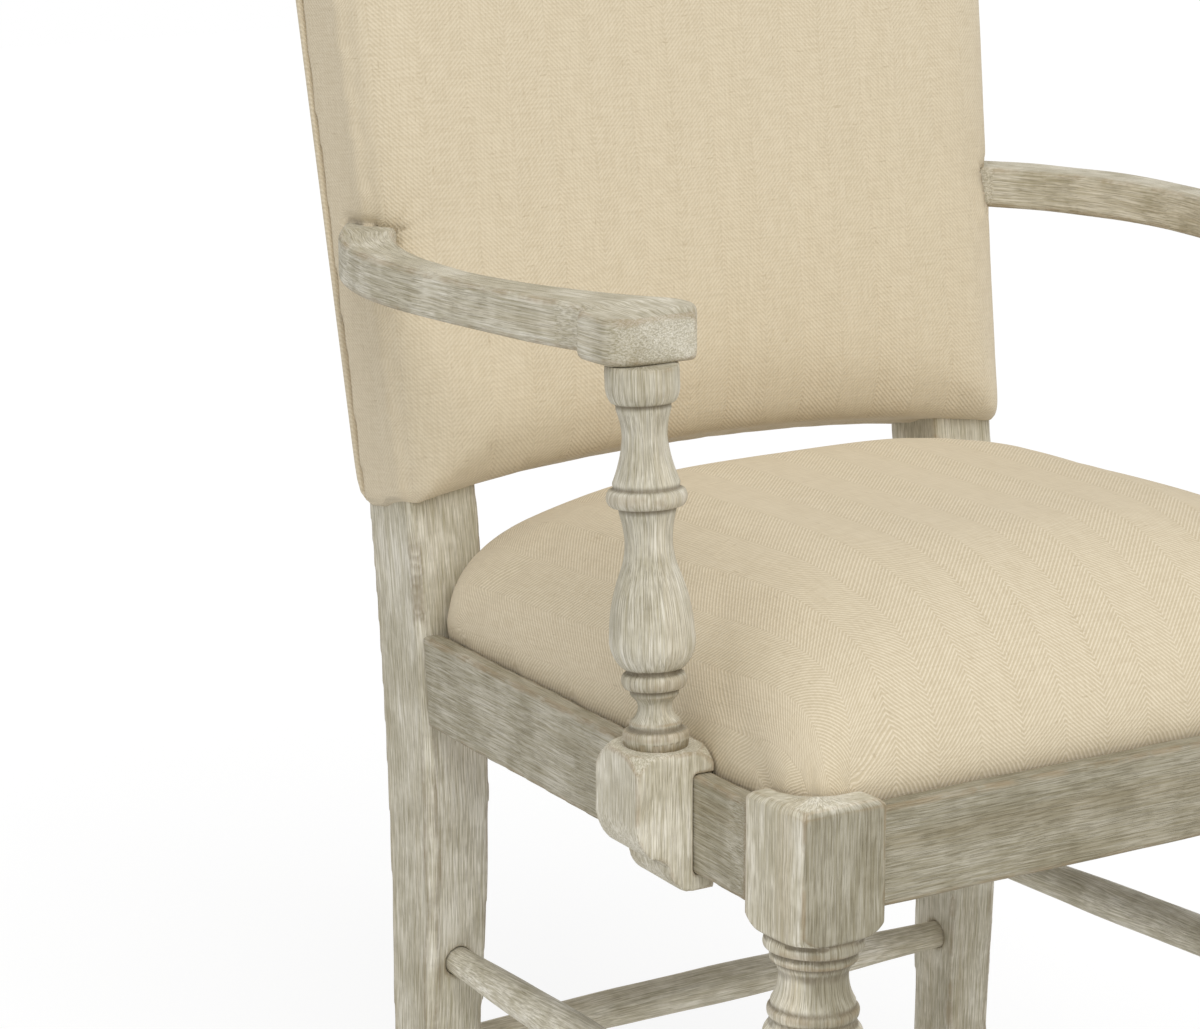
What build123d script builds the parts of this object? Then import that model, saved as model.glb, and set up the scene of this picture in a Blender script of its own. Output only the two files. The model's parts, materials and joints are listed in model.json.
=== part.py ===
from build123d import *
import os
from math import atan, cos, degrees, radians, sin, sqrt, tan

# Upholstered dining armchair. Millimetres, +Z up, the sitter faces -Y, the floor is Z = 0.
# Every left-hand piece is modelled and the right-hand one is its mirror image in X.

# Overall layout
FRONT_WIDTH = 484.0  # over the outer faces of the front legs
REAR_WIDTH = 434.0  # over the outer faces of the rear legs at the seat
SEAT_DEPTH = 418.0  # front of the front legs to the front of the rear legs, at the rails
LEG_TOP = 418.0  # top of the front leg blocks
GLIDE_HEIGHT = 3.0  # the legs stand on glides of this height
FIT = 0.15  # clearance per side around tenons and between joined pieces
SOFT_GAP = 0.3  # clearance of upholstery from its neighbours

# Seat rails
RAIL_DROP = 7.0  # the rails' tops lie this far below the leg tops
RAIL_HEIGHT = 54.0
RAIL_THICKNESS = 26.0
RAIL_INSET = 1.5  # side rails from the legs' outer faces
FRONT_RAIL_INSET = 8.0  # front rail from the legs' front faces
REAR_RAIL_INSET = 6.0  # rear rail from the legs' rear faces
RAIL_LIP = 12.7  # bare strip of rail beside the cushion
REBATE_DEPTH = 14.0  # the drop-in seat sits this far down in the rails
TENON_THICKNESS = 10.0
TENON_LENGTH = 24.0
TENON_SHOULDER = 7.0  # rail left above and below a tenon

# Front legs
LEG_SIDE = 52.0  # square of the leg blocks
TOP_BLOCK_HEIGHT = 66.0
STRETCHER_BLOCK_TOP = 228.0
STRETCHER_BLOCK_BOTTOM = 126.0
BLOCK_EASE = 3.0  # eased edge round the top of a block
TURNED_RADIUS = 25.4  # fullest turning on a leg

# Rear legs
REAR_LEG_WIDTH = 47.5  # at the seat, seen from the front
REAR_FOOT_WIDTH = 33.0
POST_TOP_WIDTH = 40.0
REAR_FOOT_DEPTH = 38.0  # seen from the side
REAR_CHAMFER = 4.0  # worn arris at the front of the rear legs
REAR_WAIST_DEPTH = 45.0
REAR_SEAT_DEPTH = 47.5
POST_TOP_DEPTH = 39.0
WAIST_HEIGHT = 158.0
WAIST_SET = 6.5  # the waist stands forward of the rail joint
FOOT_KICK = 12.5  # the foot stands back from the waist
BEND_START = 238.0
BEND_END = 493.0  # the post is straight above this
BEND_SET = 15.0  # the post's front at the bend's end, behind the rail joint
BACK_RAKE = 9.6  # degrees, front of the posts
POST_FLARE = 2.5  # degrees, the posts lean outwards above the seat
FLARE_START = 478.0

# Stretchers
SIDE_STRETCHER_HEIGHT = 208.0
CROSS_STRETCHER_HEIGHT = 147.0
STRETCHER_END_RADIUS = 8.7
STRETCHER_MID_RADIUS = 12.2
STRETCHER_SOCKET = 18.0  # depth of a stretcher's end in its leg
STRETCHER_SHIFT = 3.0  # side stretcher outside the middle of the rear leg

# Arms
ARM_UNDERSIDE = 624.5
ARM_THICKNESS = 25.5
ARM_SWING = 0.8  # share of the way from the front legs' faces to the rear legs' that the bow follows
ARM_BOW = 56.5  # furthest point outside that line
ARM_BOW_DEPTH = 352.0  # where the arm's outer edge is furthest out
ARM_WAIST = 25.0  # narrowest width, in the bow
ARM_WAIST_FORE = 30.0  # the narrowest place lies this far in front of the bow
ARM_NECK_OUT = 14.0  # outer edge where the pad begins
PAD_REAR_DEPTH = 174.0
PAD_FRONT_DEPTH = 132.0
PAD_OUT = 27.0  # pad's outer side outside the front legs' faces
PAD_IN = 39.0  # pad's inner side inside the front legs' faces
PAD_CORNER = 13.0
PAD_TAPER = 2.0  # the pad's inner side draws in by this towards the back
PAD_RUN_OUT = 4.0  # and ends this far behind its outer shoulder
ARM_ON_POST = 15.0  # the arm's inner edge meets the post this far in from its outer face
ARM_OFF_POST = 26.0  # the arm's outer edge stands this far off the post there
ARM_TAIL = 6.0  # thickness of the arm's end beside the post
ARM_LAP = 26.0  # the arm runs this far back beside its post
ARM_EASE = 3.0  # rounded edge of the arm

# Arm posts and their brackets on the side rails
POST_DEPTH = 127.0  # post's foot, behind the front legs' front faces
POST_HEAD_DEPTH = 142.0  # post's head under the pad
POST_OFF_RAIL = 10.5  # post's axis outside the rail's outer face
BALUSTER_RADIUS = 22.3  # fullest turning of the arm post
POST_TENON_RADIUS = 8.0
POST_TENON_LENGTH = 15.0
BRACKET_OUT = 34.5  # bracket's outer face, outside the rail's face
BRACKET_LENGTH = 45.0  # along the rail
BRACKET_RISE = 13.0  # top of the bracket above the rail's top
BRACKET_FOOT = 9.0  # thickness of the foot under the rail
BRACKET_CROWN = 24.5  # radius to which the bracket's top corners are turned
CROWN_DEPTH = 15.0  # the turning runs this far down the corners

# Seat upholstery
COVER = 1.5  # thickness of cover cloth with its wadding
SEAT_CROWN = 99.0  # cushion above the rails' tops
SEAT_EDGE_RUN = 106.0  # the cushion's rounded edge runs this far in
SEAT_CORNER = 26.0
BOARD = 12.0
HEM = 28.0  # cover turned under the seat board
DUST_COVER = 0.8

# Back upholstery
PANEL_BOTTOM = 483.0  # lower corners of the back
PANEL_ARCH = 18.0  # the lower edge rises this much in the middle
PANEL_TOP = 1008.0  # upper corners of the back
POST_COVER = 23.0  # crest rail over the posts' ends
CREST_RISE = 24.0  # the top edge rises this much in the middle
PANEL_SIDE = 4.5  # upholstery over the posts' outer faces
PAD_DEPTH = 28.5  # fullest padding in front of the posts
BACK_RAIL_THICKNESS = 24.0
LOWER_RAIL_HEIGHT = 46.0
CREST_RAIL_HEIGHT = 62.0
OUTSIDE_PANEL = 5.0
BACK_HEM = 6.0  # cover drawn past the posts' rear faces before it is trimmed
WEB_WIDTH = 50.0
WEB = 1.2

# Corner blocks and fasteners
CORNER_BLOCK_REACH = 52.0  # along each rail from the leg
CORNER_BLOCK_HEIGHT = 36.0
CORNER_BLOCK_CLEAR = 1.0  # from the leg
SCREW_RADIUS = 2.0
SCREW_HEAD_RADIUS = 4.0
SCREW_HEAD = 2.6
SCREW_ACCESS = 8.0  # bore behind a sunk head
SCREW_BITE = 16.0  # length of a screw in the piece that it holds
SCREW_STAGGER = 6.0  # the rear blocks' screws pass above and below each other
GLIDE_RADIUS = 11.0

# Places that follow from the sizes
HALF_FRONT = FRONT_WIDTH / 2
HALF_REAR = REAR_WIDTH / 2
RAIL_TOP = LEG_TOP - RAIL_DROP
RAIL_BOTTOM = RAIL_TOP - RAIL_HEIGHT
LEDGE = RAIL_TOP - REBATE_DEPTH
POST_TOP = PANEL_TOP - POST_COVER
POST_FRONT_SLOPE = tan(radians(BACK_RAKE))
POST_TOP_FRONT = SEAT_DEPTH + BEND_SET + POST_FRONT_SLOPE * (POST_TOP - BEND_END)
POST_REAR_SLOPE = (POST_TOP_FRONT + POST_TOP_DEPTH - SEAT_DEPTH - BEND_SET - REAR_SEAT_DEPTH) / (
    POST_TOP - BEND_END
)
FLARE = tan(radians(POST_FLARE))


def post_front(z):
    """Depth of the posts' front faces above the bend."""
    return SEAT_DEPTH + BEND_SET + POST_FRONT_SLOPE * (z - BEND_END)


def post_rear(z):
    """Depth of the posts' rear faces above the bend."""
    return SEAT_DEPTH + BEND_SET + REAR_SEAT_DEPTH + POST_REAR_SLOPE * (z - BEND_END)


def post_outer(z):
    """Distance of the posts' outer faces from the middle of the chair."""
    return HALF_REAR + FLARE * max(0.0, z - FLARE_START)


# The chair's depth is centred on Y = 0.
REACH = post_rear(PANEL_TOP + CREST_RISE) + OUTSIDE_PANEL
FRONT_Y = -REACH / 2


def rail_out(depth):
    """Side rail's outer face, measured inwards from the front legs' outer faces."""
    run = (depth - LEG_SIDE) / (SEAT_DEPTH - LEG_SIDE)
    return RAIL_INSET + run * (HALF_FRONT - HALF_REAR)


RAIL_SLOPE = (HALF_FRONT - HALF_REAR) / (SEAT_DEPTH - LEG_SIDE)


def left(inward, depth):
    """Plan point of the left half: inwards from the front leg's outer face, and back."""
    return (inward - HALF_FRONT, FRONT_Y + depth)


def plan(points):
    """Face with straight edges in plan, from (inward, depth) points of the left half."""
    return make_face(Polyline([left(*point) for point in points], close=True))


def upright(face, bottom, top):
    """Plan face raised to a prism between two heights."""
    return extrude(Pos(0, 0, bottom) * face, amount=top - bottom)


def turned(points):
    """Turning about Z through (radius, height, outward bulge of the run that leads there)."""
    edges = [Line((0, points[0][1]), points[0][:2])]
    for start, end in zip(points, points[1:]):
        if end[2]:
            edges.append(SagittaArc(start[:2], end[:2], -end[2]))
        else:
            edges.append(Line(start[:2], end[:2]))
    edges.append(Line(points[-1][:2], (0, points[-1][1])))
    edges.append(Line((0, points[-1][1]), (0, points[0][1])))
    return revolve(Plane.XZ * make_face(edges), axis=Axis.Z)


def mirrored(part):
    """The right-hand piece of a left-hand one."""
    return mirror(part, about=Plane.YZ)


def along(start, end):
    """Plane at start whose normal runs to end, for pieces turned about their own axis."""
    return Plane(origin=start, z_dir=Vector(*end) - Vector(*start))


def screw(length, clearance=0.0):
    """Countersunk screw: head at Z = 0, shank down. Clearance makes it a hole's cutter."""
    head = SCREW_HEAD_RADIUS + clearance
    shank = SCREW_RADIUS + clearance
    profile = [(shank, -length - clearance, 0), (shank, -SCREW_HEAD, 0), (head, 0, 0)]
    if clearance:
        profile.append((head, SCREW_ACCESS, 0))
    return turned(profile)


def driven(origin, direction, length, clearance=0.0):
    """Screw whose head lies at origin and whose shank runs along direction."""
    seat = Plane(origin=origin, z_dir=-Vector(*direction))
    return seat * screw(length, clearance)


# Front leg: square blocks joined by turnings, all on one axis
def front_leg_blank():
    corner = LEG_SIDE / 2 * sqrt(2) + 2 * FIT
    shoulder = LEG_TOP - TOP_BLOCK_HEIGHT
    full = TURNED_RADIUS
    foot = GLIDE_HEIGHT
    low, high = STRETCHER_BLOCK_BOTTOM, STRETCHER_BLOCK_TOP
    turning = shoulder - high
    profile = [
        (0.62 * full, foot, 0),
        (0.90 * full, foot + 0.36 * (low - foot), 0.0984 * full),
        (0.56 * full, foot + 0.70 * (low - foot), 0.0787 * full),
        (0.56 * full, foot + 0.73 * (low - foot), 0),
        (0.76 * full, foot + 0.76 * (low - foot), 0.0472 * full),
        (0.76 * full, foot + 0.82 * (low - foot), 0.063 * full),
        (0.62 * full, foot + 0.86 * (low - foot), 0),
        (0.80 * full, low - 0.0484 * turning, -0.0787 * full),
        (corner, low + 0.0645 * turning, 0.0787 * full),
        (corner, high - 0.0645 * turning, 0),
        (0.80 * full, high + 0.0484 * turning, 0.0787 * full),
        (0.64 * full, high + 0.0806 * turning, -0.0394 * full),
        (0.64 * full, high + 0.1048 * turning, 0),
        (0.64 * full, high + 0.1613 * turning, 0.126 * full),
        (0.54 * full, high + 0.1774 * turning, 0),
        (0.54 * full, high + 0.2097 * turning, 0),
        (full, shoulder - 0.5484 * turning, -0.0591 * full),
        (0.88 * full, shoulder - 0.4468 * turning, 0.1024 * full),
        (0.85 * full, shoulder - 0.4403 * turning, 0),
        (0.92 * full, shoulder - 0.4194 * turning, 0.0394 * full),
        (0.92 * full, shoulder - 0.379 * turning, 0.0394 * full),
        (0.72 * full, shoulder - 0.2903 * turning, -0.063 * full),
        (0.86 * full, shoulder - 0.2677 * turning, -0.0197 * full),
        (0.86 * full, shoulder - 0.2129 * turning, 0.063 * full),
        (0.98 * full, shoulder - 0.2065 * turning, 0),
        (0.98 * full, shoulder - 0.1419 * turning, 0.072 * full),
        (1.10 * full, shoulder - 0.1339 * turning, 0),
        (corner, shoulder + 0.055 * turning, 0.12 * full),
        (corner, LEG_TOP, 0),
    ]
    x, y = left(LEG_SIDE / 2, LEG_SIDE / 2)
    square = Pos(0, 0, LEG_TOP / 2) * Box(LEG_SIDE, LEG_SIDE, LEG_TOP)
    square = chamfer(square.faces().sort_by(Axis.Z)[-1].edges(), BLOCK_EASE)
    return Pos(x, y, 0) * (turned(profile) & square)


# Rear leg: sabre profile from the side, tapered and flared from the front
def rear_leg_blank(grow=0.0):
    """Left rear leg without its joints, larger by grow on every side for clearance cuts."""
    front = SEAT_DEPTH - grow
    rear = SEAT_DEPTH + grow
    foot = GLIDE_HEIGHT - grow
    waist = front - WAIST_SET
    kick = waist + FOOT_KICK
    top = POST_TOP + grow
    front_edge = [
        Line((kick, foot), (waist, BEND_START)),
        ThreePointArc((waist, BEND_START), (front, RAIL_TOP - 0.43 * RAIL_HEIGHT), (post_front(BEND_END) - grow, BEND_END)),
        Line((post_front(BEND_END) - grow, BEND_END), (post_front(top) - grow, top)),
    ]
    low_rear = (rear - WAIST_SET + FOOT_KICK + REAR_FOOT_DEPTH, foot)
    waist_rear = (rear - WAIST_SET + REAR_WAIST_DEPTH, WAIST_HEIGHT)
    bend_rear = (post_rear(BEND_END) + grow, BEND_END)
    top_rear = (post_rear(top) + grow, top)
    rear_edge = [
        Line((post_front(top) - grow, top), top_rear),
        Line(top_rear, bend_rear),
        ThreePointArc(bend_rear, waist_rear, low_rear),
        Line(low_rear, (kick, foot)),
    ]
    side = Plane.YZ * make_face(front_edge + rear_edge)
    outline = [
        (-HALF_REAR - grow, foot),
        (-HALF_REAR - grow, FLARE_START),
        (-post_outer(top) - grow, top),
        (-post_outer(top) + POST_TOP_WIDTH + grow, top),
        (-HALF_REAR + REAR_LEG_WIDTH + grow, FLARE_START),
        (-HALF_REAR + REAR_FOOT_WIDTH + grow, foot),
    ]
    face = Plane.XZ * make_face(Polyline(outline, close=True))
    reach = REACH + FRONT_WIDTH
    shape = extrude(side, amount=reach, both=True) & extrude(face, amount=reach, both=True)
    if not grow:
        shape = chamfer(shape.edges().filter_by(front_arris), REAR_CHAMFER)
    return Pos(0, FRONT_Y, 0) * shape


def front_arris(edge):
    """Whether an edge runs up the rear leg where its outer and front faces meet."""
    middle = edge.center()
    outer = abs(middle.X + post_outer(middle.Z)) < 1.0
    front = middle.Y < SEAT_DEPTH + BEND_SET + POST_FRONT_SLOPE * max(0.0, middle.Z - BEND_END) + 1.0
    return outer and front and edge.length > REAR_FOOT_DEPTH


# Seat rails, rebated for the drop-in seat, with a tenon at each end
def tenon_box(points, grow=0.0):
    """Tenon between the rail's shoulders from plan points, or its mortise with grow."""
    low = RAIL_BOTTOM + TENON_SHOULDER
    high = LEDGE - TENON_SHOULDER
    return upright(plan(points), low - grow, high + grow)


def side_rail_tenons(grow=0.0):
    middle = RAIL_THICKNESS / 2
    half = TENON_THICKNESS / 2 + grow
    start, end = LEG_SIDE - TENON_LENGTH - grow, SEAT_DEPTH + TENON_LENGTH + grow
    near = rail_out(start) + middle
    far = rail_out(end) + middle
    return tenon_box([(near - half, start), (far - half, end), (far + half, end), (near + half, start)], grow)


def side_rail():
    start, end = LEG_SIDE + FIT, SEAT_DEPTH + REAR_SEAT_DEPTH / 2
    near, far = rail_out(start), rail_out(end)
    thick = RAIL_THICKNESS
    bar = upright(plan([(near, start), (far, end), (far + thick, end), (near + thick, start)]), RAIL_BOTTOM, RAIL_TOP)
    rebate = upright(
        plan([(near + RAIL_LIP, start - 1), (far + RAIL_LIP, end + 1), (far + 2 * thick, end + 1), (near + 2 * thick, start - 1)]),
        LEDGE,
        RAIL_TOP + 1,
    )
    return bar - rebate - rear_leg_blank(FIT) + (side_rail_tenons() - rear_leg_waste())


def rear_leg_waste():
    """What would stand behind the rear leg's tenon length: none of a tenon passes it."""
    x, y = left(0, SEAT_DEPTH + TENON_LENGTH + FIT)
    return Pos(x, y + REACH / 2, LEG_TOP) * Box(REACH, REACH, REACH)


def cross_rail_tenons(inner, depth, grow=0.0):
    """Both tenons of a front or rear rail: inner is half the clear width between the legs."""
    half = TENON_THICKNESS / 2 + grow
    reach = HALF_FRONT - inner - TENON_LENGTH - grow
    far = 2 * HALF_FRONT - reach
    return tenon_box([(reach, depth - half), (far, depth - half), (far, depth + half), (reach, depth + half)], grow)


FRONT_RAIL_MIDDLE = FRONT_RAIL_INSET + RAIL_THICKNESS / 2
FRONT_RAIL_HALF = HALF_FRONT - LEG_SIDE
REAR_RAIL_BACK = SEAT_DEPTH + REAR_WAIST_DEPTH - REAR_RAIL_INSET
REAR_RAIL_MIDDLE = REAR_RAIL_BACK - RAIL_THICKNESS / 2
REAR_RAIL_HALF = HALF_REAR - REAR_LEG_WIDTH


def front_rail():
    half = FRONT_RAIL_HALF - FIT
    y = FRONT_Y + FRONT_RAIL_MIDDLE
    bar = Pos(0, y, RAIL_TOP - RAIL_HEIGHT / 2) * Box(2 * half, RAIL_THICKNESS, RAIL_HEIGHT)
    rebate = Pos(0, y + RAIL_LIP, (LEDGE + RAIL_TOP) / 2 + 1) * Box(2 * half, RAIL_THICKNESS, REBATE_DEPTH + 2)
    return bar - rebate + cross_rail_tenons(FRONT_RAIL_HALF, FRONT_RAIL_MIDDLE)


def rear_rail():
    half = HALF_REAR - REAR_FOOT_WIDTH
    y = FRONT_Y + REAR_RAIL_MIDDLE
    bar = Pos(0, y, RAIL_TOP - RAIL_HEIGHT / 2) * Box(2 * half, RAIL_THICKNESS, RAIL_HEIGHT)
    rebate = Pos(0, y - RAIL_LIP, (LEDGE + RAIL_TOP) / 2 + 1) * Box(2 * half, RAIL_THICKNESS, REBATE_DEPTH + 2)
    bar = bar - rebate
    for leg in both(rear_leg_blank(FIT)):
        bar = bar - leg
    return bar + cross_rail_tenons(REAR_RAIL_HALF, REAR_RAIL_MIDDLE)


def both(part):
    """A left-hand piece and its mirror image."""
    return [part, mirrored(part)]


# Stretchers: turned bars that swell to the middle, with their ends in sockets
def stretcher(start, end, grow=0.0):
    """Bar between two points on the legs' faces, or the cutter of its sockets with grow."""
    length = (Vector(*end) - Vector(*start)).length
    tip = STRETCHER_SOCKET + grow
    radius = STRETCHER_END_RADIUS + grow
    swell = STRETCHER_MID_RADIUS - STRETCHER_END_RADIUS
    profile = [(radius, -tip, 0), (radius, 0, 0), (radius, length, 0 if grow else swell), (radius, length + tip, 0)]
    return along(start, end) * turned(profile)


def side_stretcher(grow=0.0):
    front = (*left(LEG_SIDE / 2, LEG_SIDE), SIDE_STRETCHER_HEIGHT)
    middle = HALF_FRONT - HALF_REAR + REAR_LEG_WIDTH / 2 - STRETCHER_SHIFT
    rear = (*left(middle, SEAT_DEPTH - WAIST_SET), SIDE_STRETCHER_HEIGHT)
    return stretcher(front, rear, grow)


def cross_stretcher(half, depth, grow=0.0):
    """Stretcher across the chair between faces half apart from the middle."""
    y = FRONT_Y + depth
    return stretcher((-half, y, CROSS_STRETCHER_HEIGHT), (half, y, CROSS_STRETCHER_HEIGHT), grow)


def front_stretcher(grow=0.0):
    return cross_stretcher(HALF_FRONT - LEG_SIDE, LEG_SIDE / 2, grow)


def rear_stretcher(grow=0.0):
    taper = (REAR_LEG_WIDTH - REAR_FOOT_WIDTH) * CROSS_STRETCHER_HEIGHT / FLARE_START
    inner = HALF_REAR - REAR_FOOT_WIDTH - taper
    depth = SEAT_DEPTH - WAIST_SET + REAR_WAIST_DEPTH / 2
    return cross_stretcher(inner, depth, grow)


# Arm bracket: corbel notched over the side rail, its top corners turned
def bracket_plane():
    """Plane across the rail at the arm post: X outwards, Y up from the rail's top, Z forwards."""
    x, y = left(rail_out(POST_DEPTH), POST_DEPTH)
    outward = Vector(-1, RAIL_SLOPE, 0).normalized()
    forward = outward.cross(Vector(0, 0, 1))
    return Plane(origin=(x, y, RAIL_TOP), x_dir=outward, z_dir=forward)


def bracket():
    out, rise = BRACKET_OUT, BRACKET_RISE
    lip = RAIL_LIP - SOFT_GAP
    foot = -RAIL_HEIGHT - BRACKET_FOOT
    height = rise - foot
    knee = rise - 0.43 * height
    step = rise - 0.73 * height
    toe = rise - 0.81 * height
    edges = [
        Line((-lip, rise), (out, rise)),
        Line((out, rise), (out, knee)),
        SagittaArc((out, knee), (0.74 * out, step), 0.087 * out),
        SagittaArc((0.74 * out, step), (0.42 * out, toe), -0.035 * out),
        SagittaArc((0.42 * out, toe), (0.13 * out, foot), 0.075 * out),
        Line((0.13 * out, foot), (-lip, foot)),
        Line((-lip, foot), (-lip, -RAIL_HEIGHT - FIT)),
        Line((-lip, -RAIL_HEIGHT - FIT), (FIT, -RAIL_HEIGHT - FIT)),
        Line((FIT, -RAIL_HEIGHT - FIT), (FIT, FIT)),
        Line((FIT, FIT), (-lip, FIT)),
        Line((-lip, FIT), (-lip, rise)),
    ]
    plane = bracket_plane()
    corbel = extrude(plane * make_face(edges), amount=BRACKET_LENGTH / 2, both=True)
    far = out + BRACKET_LENGTH
    corner = 0.75 * BRACKET_LENGTH
    below = rise - CROWN_DEPTH
    crown = turned([(far, foot, 0), (far, below, 0), (corner, below, 0), (BRACKET_CROWN, rise, 0.1 * CROWN_DEPTH)])
    x, y = post_foot()[:2]
    corbel = corbel & (Pos(x, y, RAIL_TOP) * crown)
    return corbel - arm_post(FIT)


def post_foot():
    """Where the arm post stands on its bracket."""
    x, y = left(rail_out(POST_DEPTH) - POST_OFF_RAIL, POST_DEPTH)
    return (x, y, RAIL_TOP + BRACKET_RISE)


def post_head():
    """Where the arm post meets the arm."""
    x, y = left(rail_out(POST_DEPTH) - POST_OFF_RAIL, POST_HEAD_DEPTH)
    return (x, y, ARM_UNDERSIDE)


# Arm post: baluster turned between two tenons, leaning back a little
def arm_post(grow=0.0):
    """Left arm post, or the cutter of its two sockets with grow."""
    foot, head = post_foot(), post_head()
    span = (Vector(*head) - Vector(*foot)).length
    tenon = POST_TENON_RADIUS
    tip = POST_TENON_LENGTH
    if grow:
        bar = [(tenon + grow, -tip - grow, 0), (tenon + grow, span + tip + grow, 0)]
        return along(foot, head) * turned(bar)
    full = BALUSTER_RADIUS
    wedge = 0.007 * span
    body = [
        (0.726 * full, wedge, 0),
        (0.726 * full, 0.04677 * span, 0.0762 * full),
        (0.637 * full, 0.04677 * span, 0),
        (0.637 * full, 0.06269 * span, 0),
        (0.399 * full, 0.1045 * span, -0.0628 * full),
        (0.565 * full, 0.1313 * span, -0.0359 * full),
        (0.601 * full, 0.1413 * span, 0),
        (0.637 * full, 0.1463 * span, 0),
        (0.646 * full, 0.1985 * span, 0.135 * full),
        (1 * full, 0.2985 * span, 0.135 * full),
        (0.7 * full, 0.4622 * span, 0.0673 * full),
        (0.57 * full, 0.5353 * span, -0.0269 * full),
        (0.682 * full, 0.6189 * span, -0.0269 * full),
        (0.834 * full, 0.6289 * span, 0),
        (0.834 * full, 0.6786 * span, 0.126 * full),
        (0.794 * full, 0.692 * span, 0),
        (0.534 * full, 0.8109 * span, -0.0448 * full),
        (0.691 * full, 0.893 * span, -0.0359 * full),
        (0.744 * full, 0.8985 * span, 0),
        (0.874 * full, 0.9502 * span, 0.0448 * full),
        (0.874 * full, span - wedge, 0),
    ]
    ends = [(tenon, -tip, 0), (tenon, wedge, 0)]
    tops = [(tenon, span - wedge, 0), (tenon, span + tip, 0)]
    return along(foot, head) * turned(ends + body + tops)


# Arm: bowed in plan, lapped on its post at the back, with a wider pad at the front
def arm_outline():
    bow = (ARM_SWING * (HALF_FRONT - HALF_REAR) - ARM_BOW, ARM_BOW_DEPTH)
    waist = (bow[0] + ARM_WAIST, ARM_BOW_DEPTH - ARM_WAIST_FORE)
    meet = post_front(ARM_UNDERSIDE)
    end = meet + ARM_LAP
    neck = (-ARM_NECK_OUT, PAD_REAR_DEPTH)
    shoulder = (-PAD_OUT, PAD_REAR_DEPTH - 0.55 * PAD_CORNER)
    pad_inner = (PAD_IN - PAD_TAPER, PAD_REAR_DEPTH + PAD_RUN_OUT)
    post = HALF_FRONT - post_outer(ARM_UNDERSIDE)
    rear_in = (post + ARM_ON_POST, meet)
    rear_out = (post - ARM_OFF_POST, meet - 0.1 * ARM_LAP)
    corner = PAD_CORNER
    front_in = left(PAD_IN - 1.2 * corner, PAD_FRONT_DEPTH)
    front_out = left(corner - PAD_OUT, PAD_FRONT_DEPTH)
    side_out = left(-PAD_OUT, PAD_FRONT_DEPTH + 1.2 * corner)
    outer_rear = TangentArc(left(*bow), left(*rear_out), tangent=(0, 1))
    tail = TangentArc(left(*rear_out), left(post - ARM_TAIL, end), tangent=outer_rear % 1)
    inner_front = TangentArc(left(*waist), left(*pad_inner), tangent=(0, -1))
    side_in = TangentArc(
        left(*pad_inner), left(PAD_IN - 0.5 * PAD_TAPER, PAD_FRONT_DEPTH + 1.6 * corner), tangent=inner_front % 1
    )
    runs = [
        outer_rear,
        tail,
        Line(tail @ 1, left(post + ARM_ON_POST, end)),
        Line(left(post + ARM_ON_POST, end), left(*rear_in)),
        TangentArc(left(*waist), left(*rear_in), tangent=(0, 1)),
        inner_front,
        side_in,
        TangentArc(side_in @ 1, front_in, tangent=side_in % 1),
        Line(front_in, front_out),
        SagittaArc(front_out, side_out, -0.4 * corner),
        Line(side_out, left(*shoulder)),
        SagittaArc(left(*shoulder), left(*neck), -0.28 * corner),
        TangentArc(left(*bow), left(*neck), tangent=(0, -1)),
    ]
    return make_face(runs)


def arm_blank(grow=0.0):
    """Left arm without its socket, or its envelope for cuts in the upholstery with grow."""
    face = arm_outline()
    if grow:
        face = offset(face, amount=grow)
    bar = upright(face, ARM_UNDERSIDE - grow, ARM_UNDERSIDE + ARM_THICKNESS + grow)
    if not grow:
        rims = bar.faces().sort_by(Axis.Z)
        bar = fillet(rims[0].edges() + rims[-1].edges(), ARM_EASE)
    return bar - rear_leg_blank(FIT)


def arm_screw_place(index):
    """Head of an arm screw, sunk in the post's rear face, and the way it points."""
    z = ARM_UNDERSIDE + (0.3 + 0.4 * index) * ARM_THICKNESS
    x = 0.8 * ARM_ON_POST - post_outer(z)
    y = FRONT_Y + post_rear(z) - 0.5 * SCREW_ACCESS
    return (x, y, z), (-0.42, -1, 0)


def arm_screws(clearance=0.0):
    length = REAR_SEAT_DEPTH + SCREW_BITE
    return [driven(*arm_screw_place(index), length, clearance) for index in range(2)]


def bracket_screws(clearance=0.0):
    """Screws from inside the seat frame through the rail into the bracket."""
    plane = bracket_plane()
    screws = []
    for level in (0.45, 0.75):
        head = plane.from_local_coords((-RAIL_THICKNESS, -level * RAIL_HEIGHT, 0))
        screws.append(driven(head, plane.x_dir, RAIL_THICKNESS + SCREW_BITE, clearance))
    return screws


# Corner blocks behind the legs, screwed to the rails and up into the seat board
def front_corner_block_face():
    clear = LEG_SIDE + CORNER_BLOCK_CLEAR
    reach = LEG_SIDE + CORNER_BLOCK_REACH
    inner = RAIL_THICKNESS + FIT
    face = FRONT_RAIL_INSET + RAIL_THICKNESS + FIT
    return plan(
        [
            (rail_out(clear) + inner, clear),
            (rail_out(reach) + inner, reach),
            (reach, face),
            (clear, face),
            (clear, clear),
        ]
    )


def rear_corner_block_face():
    leg_in = HALF_FRONT - HALF_REAR + REAR_LEG_WIDTH
    clear = leg_in + CORNER_BLOCK_CLEAR
    front = SEAT_DEPTH - WAIST_SET - CORNER_BLOCK_CLEAR
    reach = front - CORNER_BLOCK_REACH
    inner = RAIL_THICKNESS + FIT
    face = REAR_RAIL_BACK - RAIL_THICKNESS - FIT
    return plan(
        [
            (rail_out(front) + inner, front),
            (rail_out(reach) + inner, reach),
            (clear + CORNER_BLOCK_REACH, face),
            (clear, face),
            (clear, front),
        ]
    )


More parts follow.
